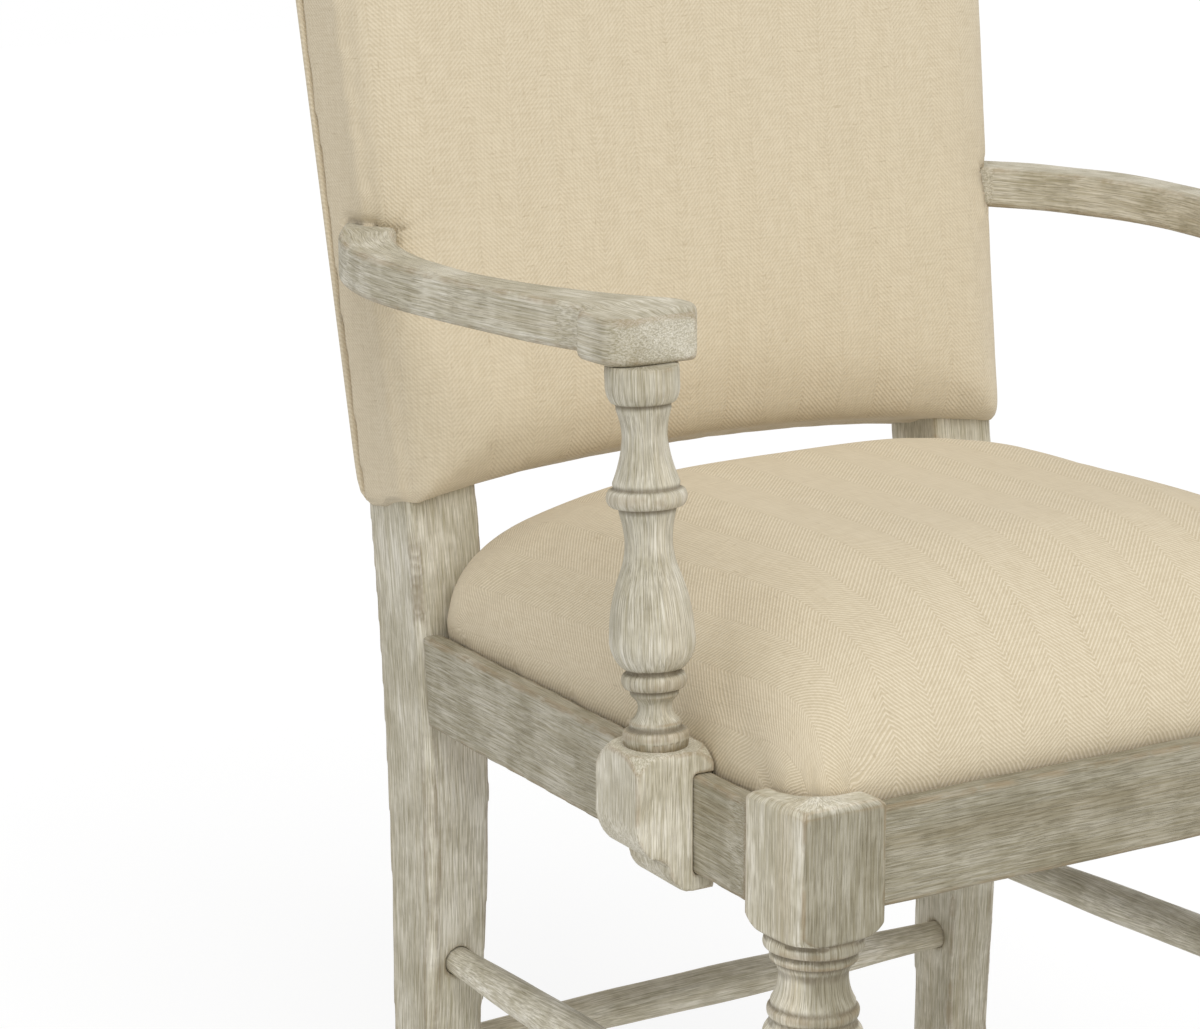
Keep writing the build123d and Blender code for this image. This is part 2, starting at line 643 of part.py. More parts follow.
def block_screws(clearance=0.0):
    """For each left corner block: one screw into its side rail and one into its cross rail."""
    z = LEDGE - CORNER_BLOCK_HEIGHT / 2
    inset = 0.30 * CORNER_BLOCK_REACH
    length = 0.55 * CORNER_BLOCK_REACH + SCREW_BITE
    side_y = LEG_SIDE + CORNER_BLOCK_REACH - 2.0 * inset
    front = [
        driven((*left(rail_out(side_y) + RAIL_THICKNESS + length - SCREW_BITE, side_y), z), (-1, 0, 0), length, clearance),
        driven((*left(side_y, FRONT_RAIL_INSET + RAIL_THICKNESS + length - SCREW_BITE), z), (0, -1, 0), length, clearance),
    ]
    rear_y = SEAT_DEPTH - WAIST_SET - CORNER_BLOCK_REACH + 2.0 * inset
    leg_in = HALF_FRONT - HALF_REAR + REAR_LEG_WIDTH
    rear_x = leg_in + CORNER_BLOCK_REACH - 1.6 * inset
    face = REAR_RAIL_BACK - RAIL_THICKNESS
    rear = [
        driven((*left(rail_out(rear_y) + RAIL_THICKNESS + length - SCREW_BITE, rear_y), z - SCREW_STAGGER), (-1, 0, 0), length, clearance),
        driven((*left(rear_x, face - length + SCREW_BITE), z + SCREW_STAGGER), (0, 1, 0), length, clearance),
    ]
    return front + rear


def seat_screws(clearance=0.0):
    """Upright screws through the left corner blocks into the seat board."""
    length = CORNER_BLOCK_HEIGHT + COVER + 0.75 * BOARD
    spots = [
        (LEG_SIDE + 0.30 * CORNER_BLOCK_REACH, LEG_SIDE + 0.30 * CORNER_BLOCK_REACH),
        (
            HALF_FRONT - HALF_REAR + REAR_LEG_WIDTH + 0.14 * CORNER_BLOCK_REACH,
            SEAT_DEPTH - WAIST_SET - 0.14 * CORNER_BLOCK_REACH,
        ),
    ]
    z = LEDGE - CORNER_BLOCK_HEIGHT
    return [driven((*left(*spot), z), (0, 0, 1), length, clearance) for spot in spots]


def cut_all(part, cutters):
    """Part with every cutter taken away."""
    for cutter in cutters:
        part = part - cutter
    return part


def corner_block(face):
    block = upright(face, LEDGE - CORNER_BLOCK_HEIGHT, LEDGE - FIT)
    return cut_all(block, block_screws(FIT) + seat_screws(FIT))


# Drop-in seat: one rounded form, made smaller for each layer inside it
SEAT_STEPS = [
    (0.0, 0.0),
    (0.10, 0.0),
    (0.20, -0.01),
    (0.36, 0.05),
    (0.54, 0.155),
    (0.72, 0.31),
    (0.87, 0.51),
    (0.96, 0.73),
    (1.0, 1.0),
]


def seat_face(inset, corner):
    """Plan of the cushion drawn in by inset, with rounded corners."""
    front = FRONT_RAIL_INSET + RAIL_LIP + inset
    rear = REAR_RAIL_BACK - RAIL_LIP - inset
    edge = RAIL_LIP + inset
    points = [
        left(rail_out(front) + edge, front),
        left(rail_out(rear) + edge, rear),
        left(2 * HALF_FRONT - rail_out(rear) - edge, rear),
        left(2 * HALF_FRONT - rail_out(front) - edge, front),
    ]
    width = points[2][0] - points[1][0]
    return make_face(FilletPolyline(points, radius=min(corner, 0.44 * width, 0.44 * (rear - front)), close=True))


def seat_form(shrink, base):
    """Crowned cushion, smaller by shrink all round, standing on base."""
    sections = [Pos(0, 0, base) * seat_face(shrink, SEAT_CORNER)]
    for rise, run in SEAT_STEPS:
        corner = SEAT_CORNER + 0.65 * max(0.0, run) * SEAT_EDGE_RUN
        z = RAIL_TOP + rise * SEAT_CROWN - (shrink if rise > 0.8 else shrink * rise)
        sections.append(Pos(0, 0, z) * seat_face(shrink + run * SEAT_EDGE_RUN, corner))
    form = loft(sections, ruled=True)
    return cut_all(form, both(rear_leg_blank(2 * SOFT_GAP + shrink)))


def seat_cover():
    shell = seat_form(SOFT_GAP, LEDGE) - seat_form(SOFT_GAP + COVER, LEDGE + COVER)
    opening = upright(seat_face(HEM, SEAT_CORNER), LEDGE - 1, LEDGE + COVER + 1)
    return shell - opening


BOARD_BOTTOM = LEDGE + COVER
BOARD_TOP = BOARD_BOTTOM + BOARD


def seat_board():
    shrink = COVER + 2 * SOFT_GAP
    board = upright(seat_face(shrink, SEAT_CORNER), BOARD_BOTTOM, BOARD_TOP)
    board = cut_all(board, both(rear_leg_blank(2 * SOFT_GAP + shrink)))
    return cut_all(board, [hole for screw_hole in seat_screws(FIT) for hole in both(screw_hole)])


def seat_foam():
    return seat_form(COVER + 2 * SOFT_GAP, BOARD_TOP)


def dust_cover():
    sheet = upright(seat_face(HEM + 1.0, SEAT_CORNER), BOARD_BOTTOM - DUST_COVER, BOARD_BOTTOM)
    sheet = cut_all(sheet, both(rear_leg_blank(HEM / 2)))
    return cut_all(sheet, [hole for screw_hole in seat_screws(FIT) for hole in both(screw_hole)])


# Back: layers on the plane of the posts' front faces
BACK_TILT = radians(BACK_RAKE)
BACK_PLANE = Plane(
    origin=(0, FRONT_Y + post_front(BEND_END), BEND_END),
    x_dir=(1, 0, 0),
    z_dir=(0, -cos(BACK_TILT), sin(BACK_TILT)),
)
REAR_TILT = atan(POST_REAR_SLOPE)
REAR_PLANE = Plane(
    origin=(0, FRONT_Y + post_rear(BEND_END), BEND_END),
    x_dir=(-1, 0, 0),
    z_dir=(0, cos(REAR_TILT), -sin(REAR_TILT)),
)
BACK_STEPS = [(0.21, 0.0), (0.49, 5.0), (0.70, 16.0), (0.88, 40.0), (0.965, 80.0), (1.0, 130.0)]


def slope_height(z):
    """Distance up the back's plane to a height above the floor."""
    return (z - BEND_END) / cos(BACK_TILT)


def back_face(inset, bottom=PANEL_BOTTOM, top=PANEL_TOP, arch=PANEL_ARCH, rise=CREST_RISE):
    """Outline of the back in its own plane: straight flared sides, arched below and above."""
    low, high = slope_height(bottom) + inset, slope_height(top) - inset
    low_half = post_outer(bottom) + PANEL_SIDE - inset
    high_half = post_outer(top) + PANEL_SIDE - inset
    return make_face(
        [
            ThreePointArc((-low_half, low), (0, low + arch), (low_half, low)),
            Line((low_half, low), (high_half, high)),
            ThreePointArc((high_half, high), (0, high + rise), (-high_half, high)),
            Line((-high_half, high), (-low_half, low)),
        ]
    )


def on_back(face, lift):
    """Face laid on the back's plane, lifted forwards."""
    return BACK_PLANE.offset(lift) * face


def back_form(shrink, start):
    """Padded front of the back, smaller by shrink, from start to its crown."""
    sections = [on_back(back_face(shrink), start)]
    for rise, inset in BACK_STEPS:
        sections.append(on_back(back_face(shrink + inset), rise * PAD_DEPTH - shrink))
    return loft(sections, ruled=True)


def behind_posts():
    """Everything behind the posts' rear faces."""
    return REAR_PLANE * Pos(0, 0, REACH / 2) * Box(4 * REACH, 4 * REACH, REACH)


def inside_back_cover():
    deep = -REAR_SEAT_DEPTH - BACK_HEM
    shell = back_form(0.0, deep) - back_form(COVER, deep - 1.0) - behind_posts()
    shell = cut_all(shell, both(rear_leg_blank(SOFT_GAP)))
    return cut_all(shell, both(arm_blank(SOFT_GAP)))


def back_foam():
    foam = back_form(COVER + SOFT_GAP, 2 * WEB + SOFT_GAP)
    return cut_all(foam, both(arm_blank(SOFT_GAP)))


def back_rail(face):
    """Rail between the posts, its front in line with theirs, fitted round their ends."""
    rail = extrude(on_back(face, -BACK_RAIL_THICKNESS), amount=BACK_RAIL_THICKNESS)
    return cut_all(rail, both(rear_leg_blank(FIT)))


def lower_back_rail():
    face = back_face(PANEL_SIDE + 1.0)
    upper = slope_height(PANEL_BOTTOM) + PANEL_ARCH + LOWER_RAIL_HEIGHT
    waste = Pos(0, upper + PANEL_TOP) * Rectangle(2 * FRONT_WIDTH, 2 * PANEL_TOP)
    return back_rail(face - waste)


def crest_rail():
    face = back_face(PANEL_SIDE + 1.0)
    lower = slope_height(PANEL_TOP) + CREST_RISE - CREST_RAIL_HEIGHT
    waste = Pos(0, lower - PANEL_TOP) * Rectangle(2 * FRONT_WIDTH, 2 * PANEL_TOP)
    return back_rail(face - waste)


def back_webbing():
    """Upright and level straps on the front of the back rails."""
    low = slope_height(PANEL_BOTTOM) + PANEL_ARCH + 0.3 * LOWER_RAIL_HEIGHT
    high = slope_height(PANEL_TOP) - 0.4 * CREST_RAIL_HEIGHT
    half = HALF_REAR - 0.5 * REAR_LEG_WIDTH
    straps = []
    for place in (-0.66, -0.22, 0.22, 0.66):
        face = Pos(place * half, (low + high) / 2) * Rectangle(WEB_WIDTH, high - low)
        straps.append(extrude(on_back(face, 0.0), amount=WEB))
    for place in (0.22, 0.5, 0.78):
        face = Pos(0, low + place * (high - low)) * Rectangle(2 * half, WEB_WIDTH)
        straps.append(extrude(on_back(face, WEB), amount=WEB))
    return straps


def outside_back_panel():
    cover = extrude(on_back(back_face(0.6), -3 * REAR_SEAT_DEPTH), amount=3 * REAR_SEAT_DEPTH)
    slab = REAR_PLANE * Pos(0, 0, SOFT_GAP + OUTSIDE_PANEL / 2) * Box(4 * REACH, 4 * REACH, OUTSIDE_PANEL)
    return cover & slab


# Glides under the four feet
def glides():
    rear = (HALF_FRONT - HALF_REAR + REAR_FOOT_WIDTH / 2, SEAT_DEPTH - WAIST_SET + FOOT_KICK + REAR_FOOT_DEPTH / 2)
    spots = [(LEG_SIDE / 2, LEG_SIDE / 2), rear]
    disc = turned([(0.8 * GLIDE_RADIUS, 0, 0), (GLIDE_RADIUS, 0.5 * GLIDE_HEIGHT, 0.4), (GLIDE_RADIUS, GLIDE_HEIGHT, 0)])
    pads = [Pos(*left(*spot), 0) * disc for spot in spots]
    return [pad for one in pads for pad in both(one)]


def front_leg():
    leg = front_leg_blank()
    seat_room = upright(seat_face(-SOFT_GAP, SEAT_CORNER), LEDGE, LEG_TOP + 1)
    mortises = [side_rail_tenons(FIT), cross_rail_tenons(FRONT_RAIL_HALF, FRONT_RAIL_MIDDLE, FIT)]
    sockets = [side_stretcher(FIT), front_stretcher(FIT)]
    return cut_all(leg, [seat_room] + mortises + sockets)


def rear_leg():
    mortises = [side_rail_tenons(FIT), cross_rail_tenons(REAR_RAIL_HALF, REAR_RAIL_MIDDLE, FIT)]
    sockets = [side_stretcher(FIT), rear_stretcher(FIT)]
    return cut_all(rear_leg_blank(), mortises + sockets + arm_screws(FIT))


def export(name, *solids):
    """One node: a single solid, or a group of like ones."""
    bodies = [body for solid in solids for body in solid.solids()]
    shape = bodies[0] if len(bodies) == 1 else Compound(bodies)
    export_step(shape, os.path.join("parts", name + ".step"))


def main():
    os.makedirs("parts", exist_ok=True)
    pairs = {
        "front_leg": front_leg(),
        "rear_leg": rear_leg(),
        "side_seat_rail": cut_all(side_rail(), bracket_screws(FIT) + block_screws(FIT)),
        "side_stretcher": side_stretcher(),
        "arm": cut_all(arm_blank(), [arm_post(FIT)] + arm_screws(FIT)),
        "arm_post": arm_post(),
        "arm_bracket": cut_all(bracket(), bracket_screws(FIT)),
        "corner_block_front": corner_block(front_corner_block_face()),
        "corner_block_rear": corner_block(rear_corner_block_face()),
    }
    for name, piece in pairs.items():
        export(name + "_left", piece)
        export(name + "_right", mirrored(piece))
    block_holes = [hole for cutter in block_screws(FIT) for hole in both(cutter)]
    single = {
        "front_seat_rail": cut_all(front_rail(), block_holes),
        "rear_seat_rail": cut_all(rear_rail(), block_holes),
        "front_stretcher": front_stretcher(),
        "rear_stretcher": rear_stretcher(),
        "crest_rail": crest_rail(),
        "lower_back_rail": lower_back_rail(),
        "back_foam": back_foam(),
        "inside_back_cover": inside_back_cover(),
        "outside_back_panel": outside_back_panel(),
        "seat_board": seat_board(),
        "seat_foam": seat_foam(),
        "seat_cover": seat_cover(),
        "dust_cover": dust_cover(),
    }
    for name, piece in single.items():
        export(name, piece)
    groups = {
        "corner_block_screws": block_screws(),
        "seat_screws": seat_screws(),
        "arm_bracket_screws": bracket_screws(),
        "arm_screws": arm_screws(),
    }
    for name, pieces in groups.items():
        export(name, *[one for piece in pieces for one in both(piece)])
    export("back_webbing", *back_webbing())
    export("foot_glides", *glides())


main()
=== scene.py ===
import json
import math
from contextlib import contextmanager

import bmesh
import bpy
import numpy as np
from bpy.props import FloatProperty, FloatVectorProperty, IntProperty, PointerProperty
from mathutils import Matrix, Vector
from mathutils.bvhtree import BVHTree


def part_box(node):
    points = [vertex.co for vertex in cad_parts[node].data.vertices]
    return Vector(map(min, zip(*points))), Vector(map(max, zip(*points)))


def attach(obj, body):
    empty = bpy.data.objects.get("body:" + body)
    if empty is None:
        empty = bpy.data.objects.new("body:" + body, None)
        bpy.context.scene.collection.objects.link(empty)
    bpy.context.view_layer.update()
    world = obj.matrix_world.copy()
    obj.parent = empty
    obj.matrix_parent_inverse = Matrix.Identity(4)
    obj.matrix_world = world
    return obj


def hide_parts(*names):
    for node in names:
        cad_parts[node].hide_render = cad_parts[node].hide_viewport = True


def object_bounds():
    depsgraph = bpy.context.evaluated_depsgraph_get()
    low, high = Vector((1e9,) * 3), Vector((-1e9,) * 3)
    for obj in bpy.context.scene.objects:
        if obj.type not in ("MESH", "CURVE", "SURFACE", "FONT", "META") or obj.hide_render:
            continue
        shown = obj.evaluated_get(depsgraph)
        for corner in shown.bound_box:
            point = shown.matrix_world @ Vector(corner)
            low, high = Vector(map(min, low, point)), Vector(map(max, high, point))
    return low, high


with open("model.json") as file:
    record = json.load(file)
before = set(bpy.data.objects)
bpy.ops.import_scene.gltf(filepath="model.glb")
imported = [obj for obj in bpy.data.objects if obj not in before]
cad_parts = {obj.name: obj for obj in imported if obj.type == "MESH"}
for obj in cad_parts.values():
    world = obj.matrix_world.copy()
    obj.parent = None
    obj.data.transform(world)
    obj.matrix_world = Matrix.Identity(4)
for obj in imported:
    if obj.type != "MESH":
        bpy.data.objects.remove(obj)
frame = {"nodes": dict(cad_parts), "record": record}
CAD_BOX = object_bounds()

bl_info = {
    "name": "Upholstered Dining Armchair",
    "version": (1, 0, 0),
    "blender": (4, 5, 0),
    "location": "View3D > Sidebar > Armchair",
    "description": "Limed wood, herringbone cushions and a plain studio for a dining armchair",
    "category": "Object",
}

# Lengths are in metres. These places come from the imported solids
SEAT_LOW, SEAT_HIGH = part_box("seat_cover")
RAIL_LOW, RAIL_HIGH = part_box("side_seat_rail_left")
LINING_LOW, LINING_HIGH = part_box("dust_cover")
RAIL_TOP = RAIL_HIGH[2]
FRONT = CAD_BOX[0][1]

# Face sizes of the even meshes: cushions, and the arms' room in the back
CUSHION_FACE = 0.0045
ROOM_FACE = 0.003

# Arm posts' ends: half width, depth behind the front and height
POST_FOOT, POST_HEAD = (0.2459, 0.127, 0.424), (0.2459, 0.142, 0.6245)

# Score lines as heights up an arm post's axis and up a front leg
POST_LINES = (0.0100, 0.0290, 0.0398, 0.1252, 0.1372, 0.1795)
LEG_LINES = (0.3447, 0.3360, 0.3293, 0.3068, 0.2990, 0.2502)

# Heights of a front leg's beads in the solid, and where they are drawn up to
LEG_FROM = (0.300, 0.305, 0.3188, 0.326, 0.3354, 0.3588)
LEG_TO = (0.300, 0.307, 0.3293, 0.336, 0.3447, 0.3588)


# Small helpers


def linear(red, green, blue):
    """Screen colour from 0 to 255 as the linear colour that shaders read."""
    values = []
    for level in (red, green, blue):
        share = level / 255
        values.append(share / 12.92 if share <= 0.04045 else ((share + 0.055) / 1.055) ** 2.4)
    return tuple(values)


def smooth(low, high, value):
    """Soft step from 0 at low to 1 at high."""
    share = np.clip((value - low) / (high - low), 0.0, 1.0)
    return share * share * (3.0 - 2.0 * share)


def pair(name):
    """Left and right of a piece."""
    return [name + "_left", name + "_right"]


def side_of(node):
    """Sign of X on a piece's own side of the chair."""
    return -1 if node.endswith("left") else 1


def points_of(mesh):
    """Vertex places of a mesh."""
    places = np.empty(len(mesh.vertices) * 3)
    mesh.vertices.foreach_get("co", places)
    return places.reshape(-1, 3)


def set_points(mesh, places):
    """Writes vertex places back to a mesh."""
    mesh.vertices.foreach_set("co", np.ascontiguousarray(places, dtype=np.float64).ravel())
    mesh.update()


def normals_of(mesh):
    """Vertex normals of a mesh."""
    ways = np.empty(len(mesh.vertices) * 3, dtype=np.float32)
    mesh.vertex_normals.foreach_get("vector", ways)
    return ways.reshape(-1, 3).astype(np.float64)


def edges_of(mesh):
    """Vertex pairs of a mesh's edges."""
    pairs = np.empty(len(mesh.edges) * 2, dtype=np.int32)
    mesh.edges.foreach_get("vertices", pairs)
    return pairs.reshape(-1, 2)


def neighbour_mean(values, edges):
    """Mean of each vertex's neighbours."""
    count = np.bincount(edges.ravel(), minlength=len(values)).astype(float)
    columns = []
    for column in values.reshape(len(values), -1).T:
        total = np.bincount(edges[:, 0], weights=column[edges[:, 1]], minlength=len(values))
        total += np.bincount(edges[:, 1], weights=column[edges[:, 0]], minlength=len(values))
        columns.append(total / np.maximum(count, 1.0))
    return np.stack(columns, axis=1).reshape(values.shape)


def relax(places, edges, rounds, rate=0.5, back=-0.52):
    """Rounds arrises off without shrinking the piece."""
    for _ in range(rounds):
        for step in (rate, back):
            places = places + step * (neighbour_mean(places, edges) - places)
    return places


def ease(places, edges, rounds, freedom):
    """Smooths a cushion where freedom, a function of the places, lets it."""
    for _ in range(rounds):
        free = 0.5 * freedom(places)
        places = places + free[:, None] * (neighbour_mean(places, edges) - places)
    return places


def above(low, high):
    """Freedom from none at a low height to full at a high one."""
    return lambda places: smooth(low, high, places[:, 2])


def waves(places, length, seed):
    """Slow seeded unevenness between about -1 and 1."""
    picker = np.random.default_rng(seed)
    total = np.zeros(len(places))
    for _ in range(7):
        way = picker.normal(size=3)
        way *= 2 * math.pi / (length * picker.uniform(0.7, 1.6) * np.linalg.norm(way))
        total += np.sin(places @ way + picker.uniform(0, 2 * math.pi))
    return total / 3.5


@contextmanager
def edited(mesh):
    """A mesh opened for editing, and written back."""
    shape = bmesh.new()
    shape.from_mesh(mesh)
    yield shape
    shape.to_mesh(mesh)
    shape.free()


def merged_copy(node):
    """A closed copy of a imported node's mesh."""
    mesh = frame["nodes"][node].data.copy()
    with edited(mesh) as shape:
        bmesh.ops.remove_doubles(shape, verts=shape.verts, dist=2e-6)
    mesh.materials.clear()
    return mesh


def mesh_from(name, points, edges, faces):
    """A new mesh."""
    mesh = bpy.data.meshes.new(name)
    mesh.from_pydata(points, edges, faces)
    return mesh


def ring_mesh(name, rings):
    """Closed mesh through rings of points, the first and last filled."""
    count = len(rings[0])
    points = [tuple(point) for ring in rings for point in ring]
    faces = []
    for level in range(len(rings) - 1):
        for index in range(count):
            after = (index + 1) % count
            low, high = level * count, (level + 1) * count
            faces.append((low + index, low + after, high + after, high + index))
    faces.append(tuple(reversed(range(count))))
    faces.append(tuple(range((len(rings) - 1) * count, len(rings) * count)))
    mesh = mesh_from(name, points, [], faces)
    with edited(mesh) as shape:
        bmesh.ops.triangulate(shape, faces=[face for face in shape.faces if len(face.verts) > 4])
        bmesh.ops.recalc_face_normals(shape, faces=shape.faces)
    return mesh


def as_object(name, mesh):
    """A new object at the origin."""
    piece = bpy.data.objects.new(name, mesh)
    bpy.context.scene.collection.objects.link(piece)
    return piece


def drop(piece):
    """Takes a scratch object away."""
    mesh = piece.data
    bpy.data.objects.remove(piece)
    if mesh.users == 0:
        bpy.data.meshes.remove(mesh)


def settled(piece):
    """A plain mesh of an object with its modifiers in it."""
    graph = bpy.context.evaluated_depsgraph_get()
    graph.update()
    return bpy.data.meshes.new_from_object(piece.evaluated_get(graph))


def modified(mesh, *steps):
    """The mesh after modifiers, each given as its kind and its settings."""
    scratch = as_object("scratch", mesh)
    for kind, settings in steps:
        modifier = scratch.modifiers.new(kind.lower(), kind)
        for field, value in settings.items():
            setattr(modifier, field, value)
    result = settled(scratch)
    drop(scratch)
    return result


def even_mesh(mesh, spacing, cutters=()):
    """The mesh, less the cutters, with even faces of about the spacing."""
    cut = {"operation": "DIFFERENCE", "solver": "EXACT"}
    cuts = [("BOOLEAN", {**cut, "object": cutter}) for cutter in cutters]
    return modified(mesh, *cuts, ("REMESH", {"mode": "VOXEL", "voxel_size": spacing}))


def subdivided(mesh):
    """One round of smooth subdivision."""
    return modified(mesh, ("SUBSURF", {"levels": 1, "render_levels": 1}))


def store(mesh, name, values):
    """Writes one value or vector per vertex as an attribute that a material reads."""
    kind, field = ("FLOAT_VECTOR", "vector") if np.ndim(values) == 2 else ("FLOAT", "value")
    layer = mesh.attributes.new(name=name, type=kind, domain="POINT")
    layer.data.foreach_set(field, np.ascontiguousarray(values, dtype=np.float32).ravel())


def place(name, mesh, material, nodes):
    """The finished piece: smooth, with its material, riding on the chair in place of its solids."""
    mesh.polygons.foreach_set("use_smooth", np.ones(len(mesh.polygons), dtype=bool))
    mesh.update()
    mesh.materials.clear()
    mesh.materials.append(material)
    piece = as_object(name, mesh)
    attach(piece, "root")
    if nodes:
        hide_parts(*nodes)
    return piece


# Shader building


def feed(tree, socket, value):
    """Links a socket, or sets a plain value."""
    if isinstance(value, bpy.types.NodeSocket):
        tree.links.new(value, socket)
    else:
        socket.default_value = value


def feed_all(tree, node, **values):
    """Feeds a node's inputs by name, with _ for a space."""
    for label, value in values.items():
        feed(tree, node.inputs[label.replace("_", " ")], value)


def calc(tree, operation, first, second=0.0, third=0.0):
    """Math node."""
    step = tree.nodes.new("ShaderNodeMath")
    step.operation = operation
    for socket, value in zip(step.inputs, (first, second, third)):
        feed(tree, socket, value)
    return step.outputs[0]


def rise(tree, value, low, high, start=0.0, end=1.0):
    """Soft step of a value from start at low to end at high."""
    step = tree.nodes.new("ShaderNodeMapRange")
    step.interpolation_type = "SMOOTHSTEP"
    for socket, item in zip(step.inputs, (value, low, high, start, end)):
        feed(tree, socket, item)
    return step.outputs[0]


def blend(tree, share, first, second, mode="MIX"):
    """Mix of two colours."""
    step = tree.nodes.new("ShaderNodeMix")
    step.data_type = "RGBA"
    step.blend_type = mode
    feed(tree, step.inputs[0], share)
    for socket, value in ((step.inputs[6], first), (step.inputs[7], second)):
        feed(tree, socket, value if isinstance(value, bpy.types.NodeSocket) else (*value, 1.0))
    return step.outputs[2]


def noise(tree, vector, scale, detail=2.0, roughness=0.5):
    """Noise value at a place."""
    step = tree.nodes.new("ShaderNodeTexNoise")
    feed_all(tree, step, Vector=vector, Scale=scale, Detail=detail, Roughness=roughness)
    return step.outputs[0]


def stretched(tree, vector, scale):
    """Place scaled along each axis."""
    step = tree.nodes.new("ShaderNodeMapping")
    feed_all(tree, step, Vector=vector, Scale=scale)
    return step.outputs[0]


def new_group(name, inputs, outputs):
    """Node group with named sockets and values as its outputs: its tree, what it is given, its result."""
    tree = bpy.data.node_groups.new(name, "ShaderNodeTree")
    for label, default in inputs.items():
        kind = "NodeSocketFloat" if isinstance(default, float) else "NodeSocketVector"
        socket = tree.interface.new_socket(label, in_out="INPUT", socket_type=kind)
        socket.default_value = default
    for label in outputs:
        tree.interface.new_socket(label, in_out="OUTPUT", socket_type="NodeSocketFloat")
    return tree, tree.nodes.new("NodeGroupInput").outputs, tree.nodes.new("NodeGroupOutput")


def use_group(tree, group, **values):
    """Outputs of a group placed in a tree, with its inputs fed by name."""
    step = tree.nodes.new("ShaderNodeGroup")
    step.node_tree = group
    feed_all(tree, step, **values)
    return step.outputs


ORIGIN = (0.0, 0.0, 0.0)


def grain_group():
    """Long grain: broad tone, streaks and fine open pores along the wood."""
    name = "Long Grain"
    if name in bpy.data.node_groups:
        return bpy.data.node_groups[name]
    inputs = {"Vector": ORIGIN, "Stretch": (1.0, 1.0, 0.05)}
    tree, given, result = new_group(name, inputs, ("Tone", "Streak", "Pore", "Height"))
    wander = noise(tree, given["Vector"], 14.0)
    bent = tree.nodes.new("ShaderNodeVectorMath")
    bent.operation = "MULTIPLY_ADD"
    bent.inputs[1].default_value = (0.0028, 0.0028, 0.0028)
    feed(tree, bent.inputs[0], wander)
    feed(tree, bent.inputs[2], given["Vector"])
    along = stretched(tree, bent.outputs[0], given["Stretch"])
    tone = noise(tree, along, 30.0, 3.0, 0.6)
    streak = noise(tree, along, 1150.0, 3.0, 0.6)
    pore = rise(tree, noise(tree, along, 2200.0, 1.0), 0.52, 0.68)
    height = calc(tree, "MULTIPLY_ADD", pore, -0.7, calc(tree, "MULTIPLY", streak, 0.5))
    feed_all(tree, result, Tone=tone, Streak=streak, Pore=pore, Height=height)
    return tree


def wear_group():
    """Patchy rub-through on raised arrises and glaze left in hollows."""
    name = "Rubbed Arris"
    if name in bpy.data.node_groups:
        return bpy.data.node_groups[name]
    inputs = {"Vector": ORIGIN, "Arris": 0.0, "Hollow": 0.0}
    tree, given, result = new_group(name, inputs, ("Rub", "Glaze"))
    patch = noise(tree, given["Vector"], 55.0, 4.0, 0.65)
    rub = calc(tree, "MULTIPLY", given["Arris"], rise(tree, patch, 0.34, 0.62))
    glaze = calc(tree, "MULTIPLY", given["Hollow"], rise(tree, patch, 0.25, 0.5, 0.55, 1.0))
    feed_all(tree, result, Rub=rub, Glaze=glaze)
    return tree


def herringbone_group():
    """Herringbone twill: ribs that turn at each column, with single threads in them."""
    name = "Herringbone Twill"
    if name in bpy.data.node_groups:
        return bpy.data.node_groups[name]
    inputs = {"Vector": ORIGIN, "Column": 0.028, "Pitch": 0.0029}
    tree, given, result = new_group(name, inputs, ("Rib", "Thread", "Turn", "Height"))
    flat, column = given["Vector"], given["Column"]
    drift = noise(tree, flat, 60.0)
    split = tree.nodes.new("ShaderNodeSeparateXYZ")
    feed(tree, split.inputs[0], flat)
    across, down = split.outputs[0], split.outputs[1]
    zigzag = calc(tree, "PINGPONG", across, column)
    run = calc(tree, "MULTIPLY_ADD", drift, 0.0009, calc(tree, "ADD", down, zigzag))
    turns = calc(tree, "MULTIPLY", calc(tree, "DIVIDE", run, given["Pitch"]), 2 * math.pi)
    rib = calc(tree, "MULTIPLY_ADD", calc(tree, "SINE", turns), 0.5, 0.5)
    edge = calc(tree, "MINIMUM", zigzag, calc(tree, "SUBTRACT", column, zigzag))
    turn = rise(tree, edge, 0.0002, 0.0011, 1.0, 0.0)
    warp = noise(tree, stretched(tree, flat, (1.0, 0.07, 1.0)), 900.0)
    weft = noise(tree, stretched(tree, flat, (0.07, 1.0, 1.0)), 800.0)
    thread = calc(tree, "MULTIPLY", calc(tree, "ADD", warp, weft), 0.5)
    height = calc(tree, "MULTIPLY_ADD", thread, 0.9, calc(tree, "MULTIPLY", rib, 0.35))
    height = calc(tree, "MULTIPLY_ADD", turn, -0.2, height)
    feed_all(tree, result, Rib=rib, Thread=thread, Turn=turn, Height=height)
    return tree


def slub_group():
    """Flecks of thicker, darker yarn that lie along the threads, and faint bands up the cloth."""
    name = "Slub Yarn"
    if name in bpy.data.node_groups:
        return bpy.data.node_groups[name]
    tree, given, result = new_group(name, {"Vector": ORIGIN}, ("Fleck", "Band"))
    flat = given["Vector"]
    level = noise(tree, stretched(tree, flat, (0.22, 1.0, 1.0)), 420.0, 1.0)
    upright = noise(tree, stretched(tree, flat, (1.0, 0.25, 1.0)), 390.0, 1.0)
    fleck = calc(tree, "MAXIMUM", rise(tree, level, 0.70, 0.77), rise(tree, upright, 0.715, 0.78))
    band = noise(tree, stretched(tree, flat, (1.0, 0.05, 1.0)), 90.0)
    feed_all(tree, result, Fleck=fleck, Band=band)
    return tree


def new_material(name):
    """New material: it, its tree and its Principled shader."""
    material = bpy.data.materials.new(name)
    material.use_nodes = True
    tree = material.node_tree
    return material, tree, tree.nodes["Principled BSDF"]


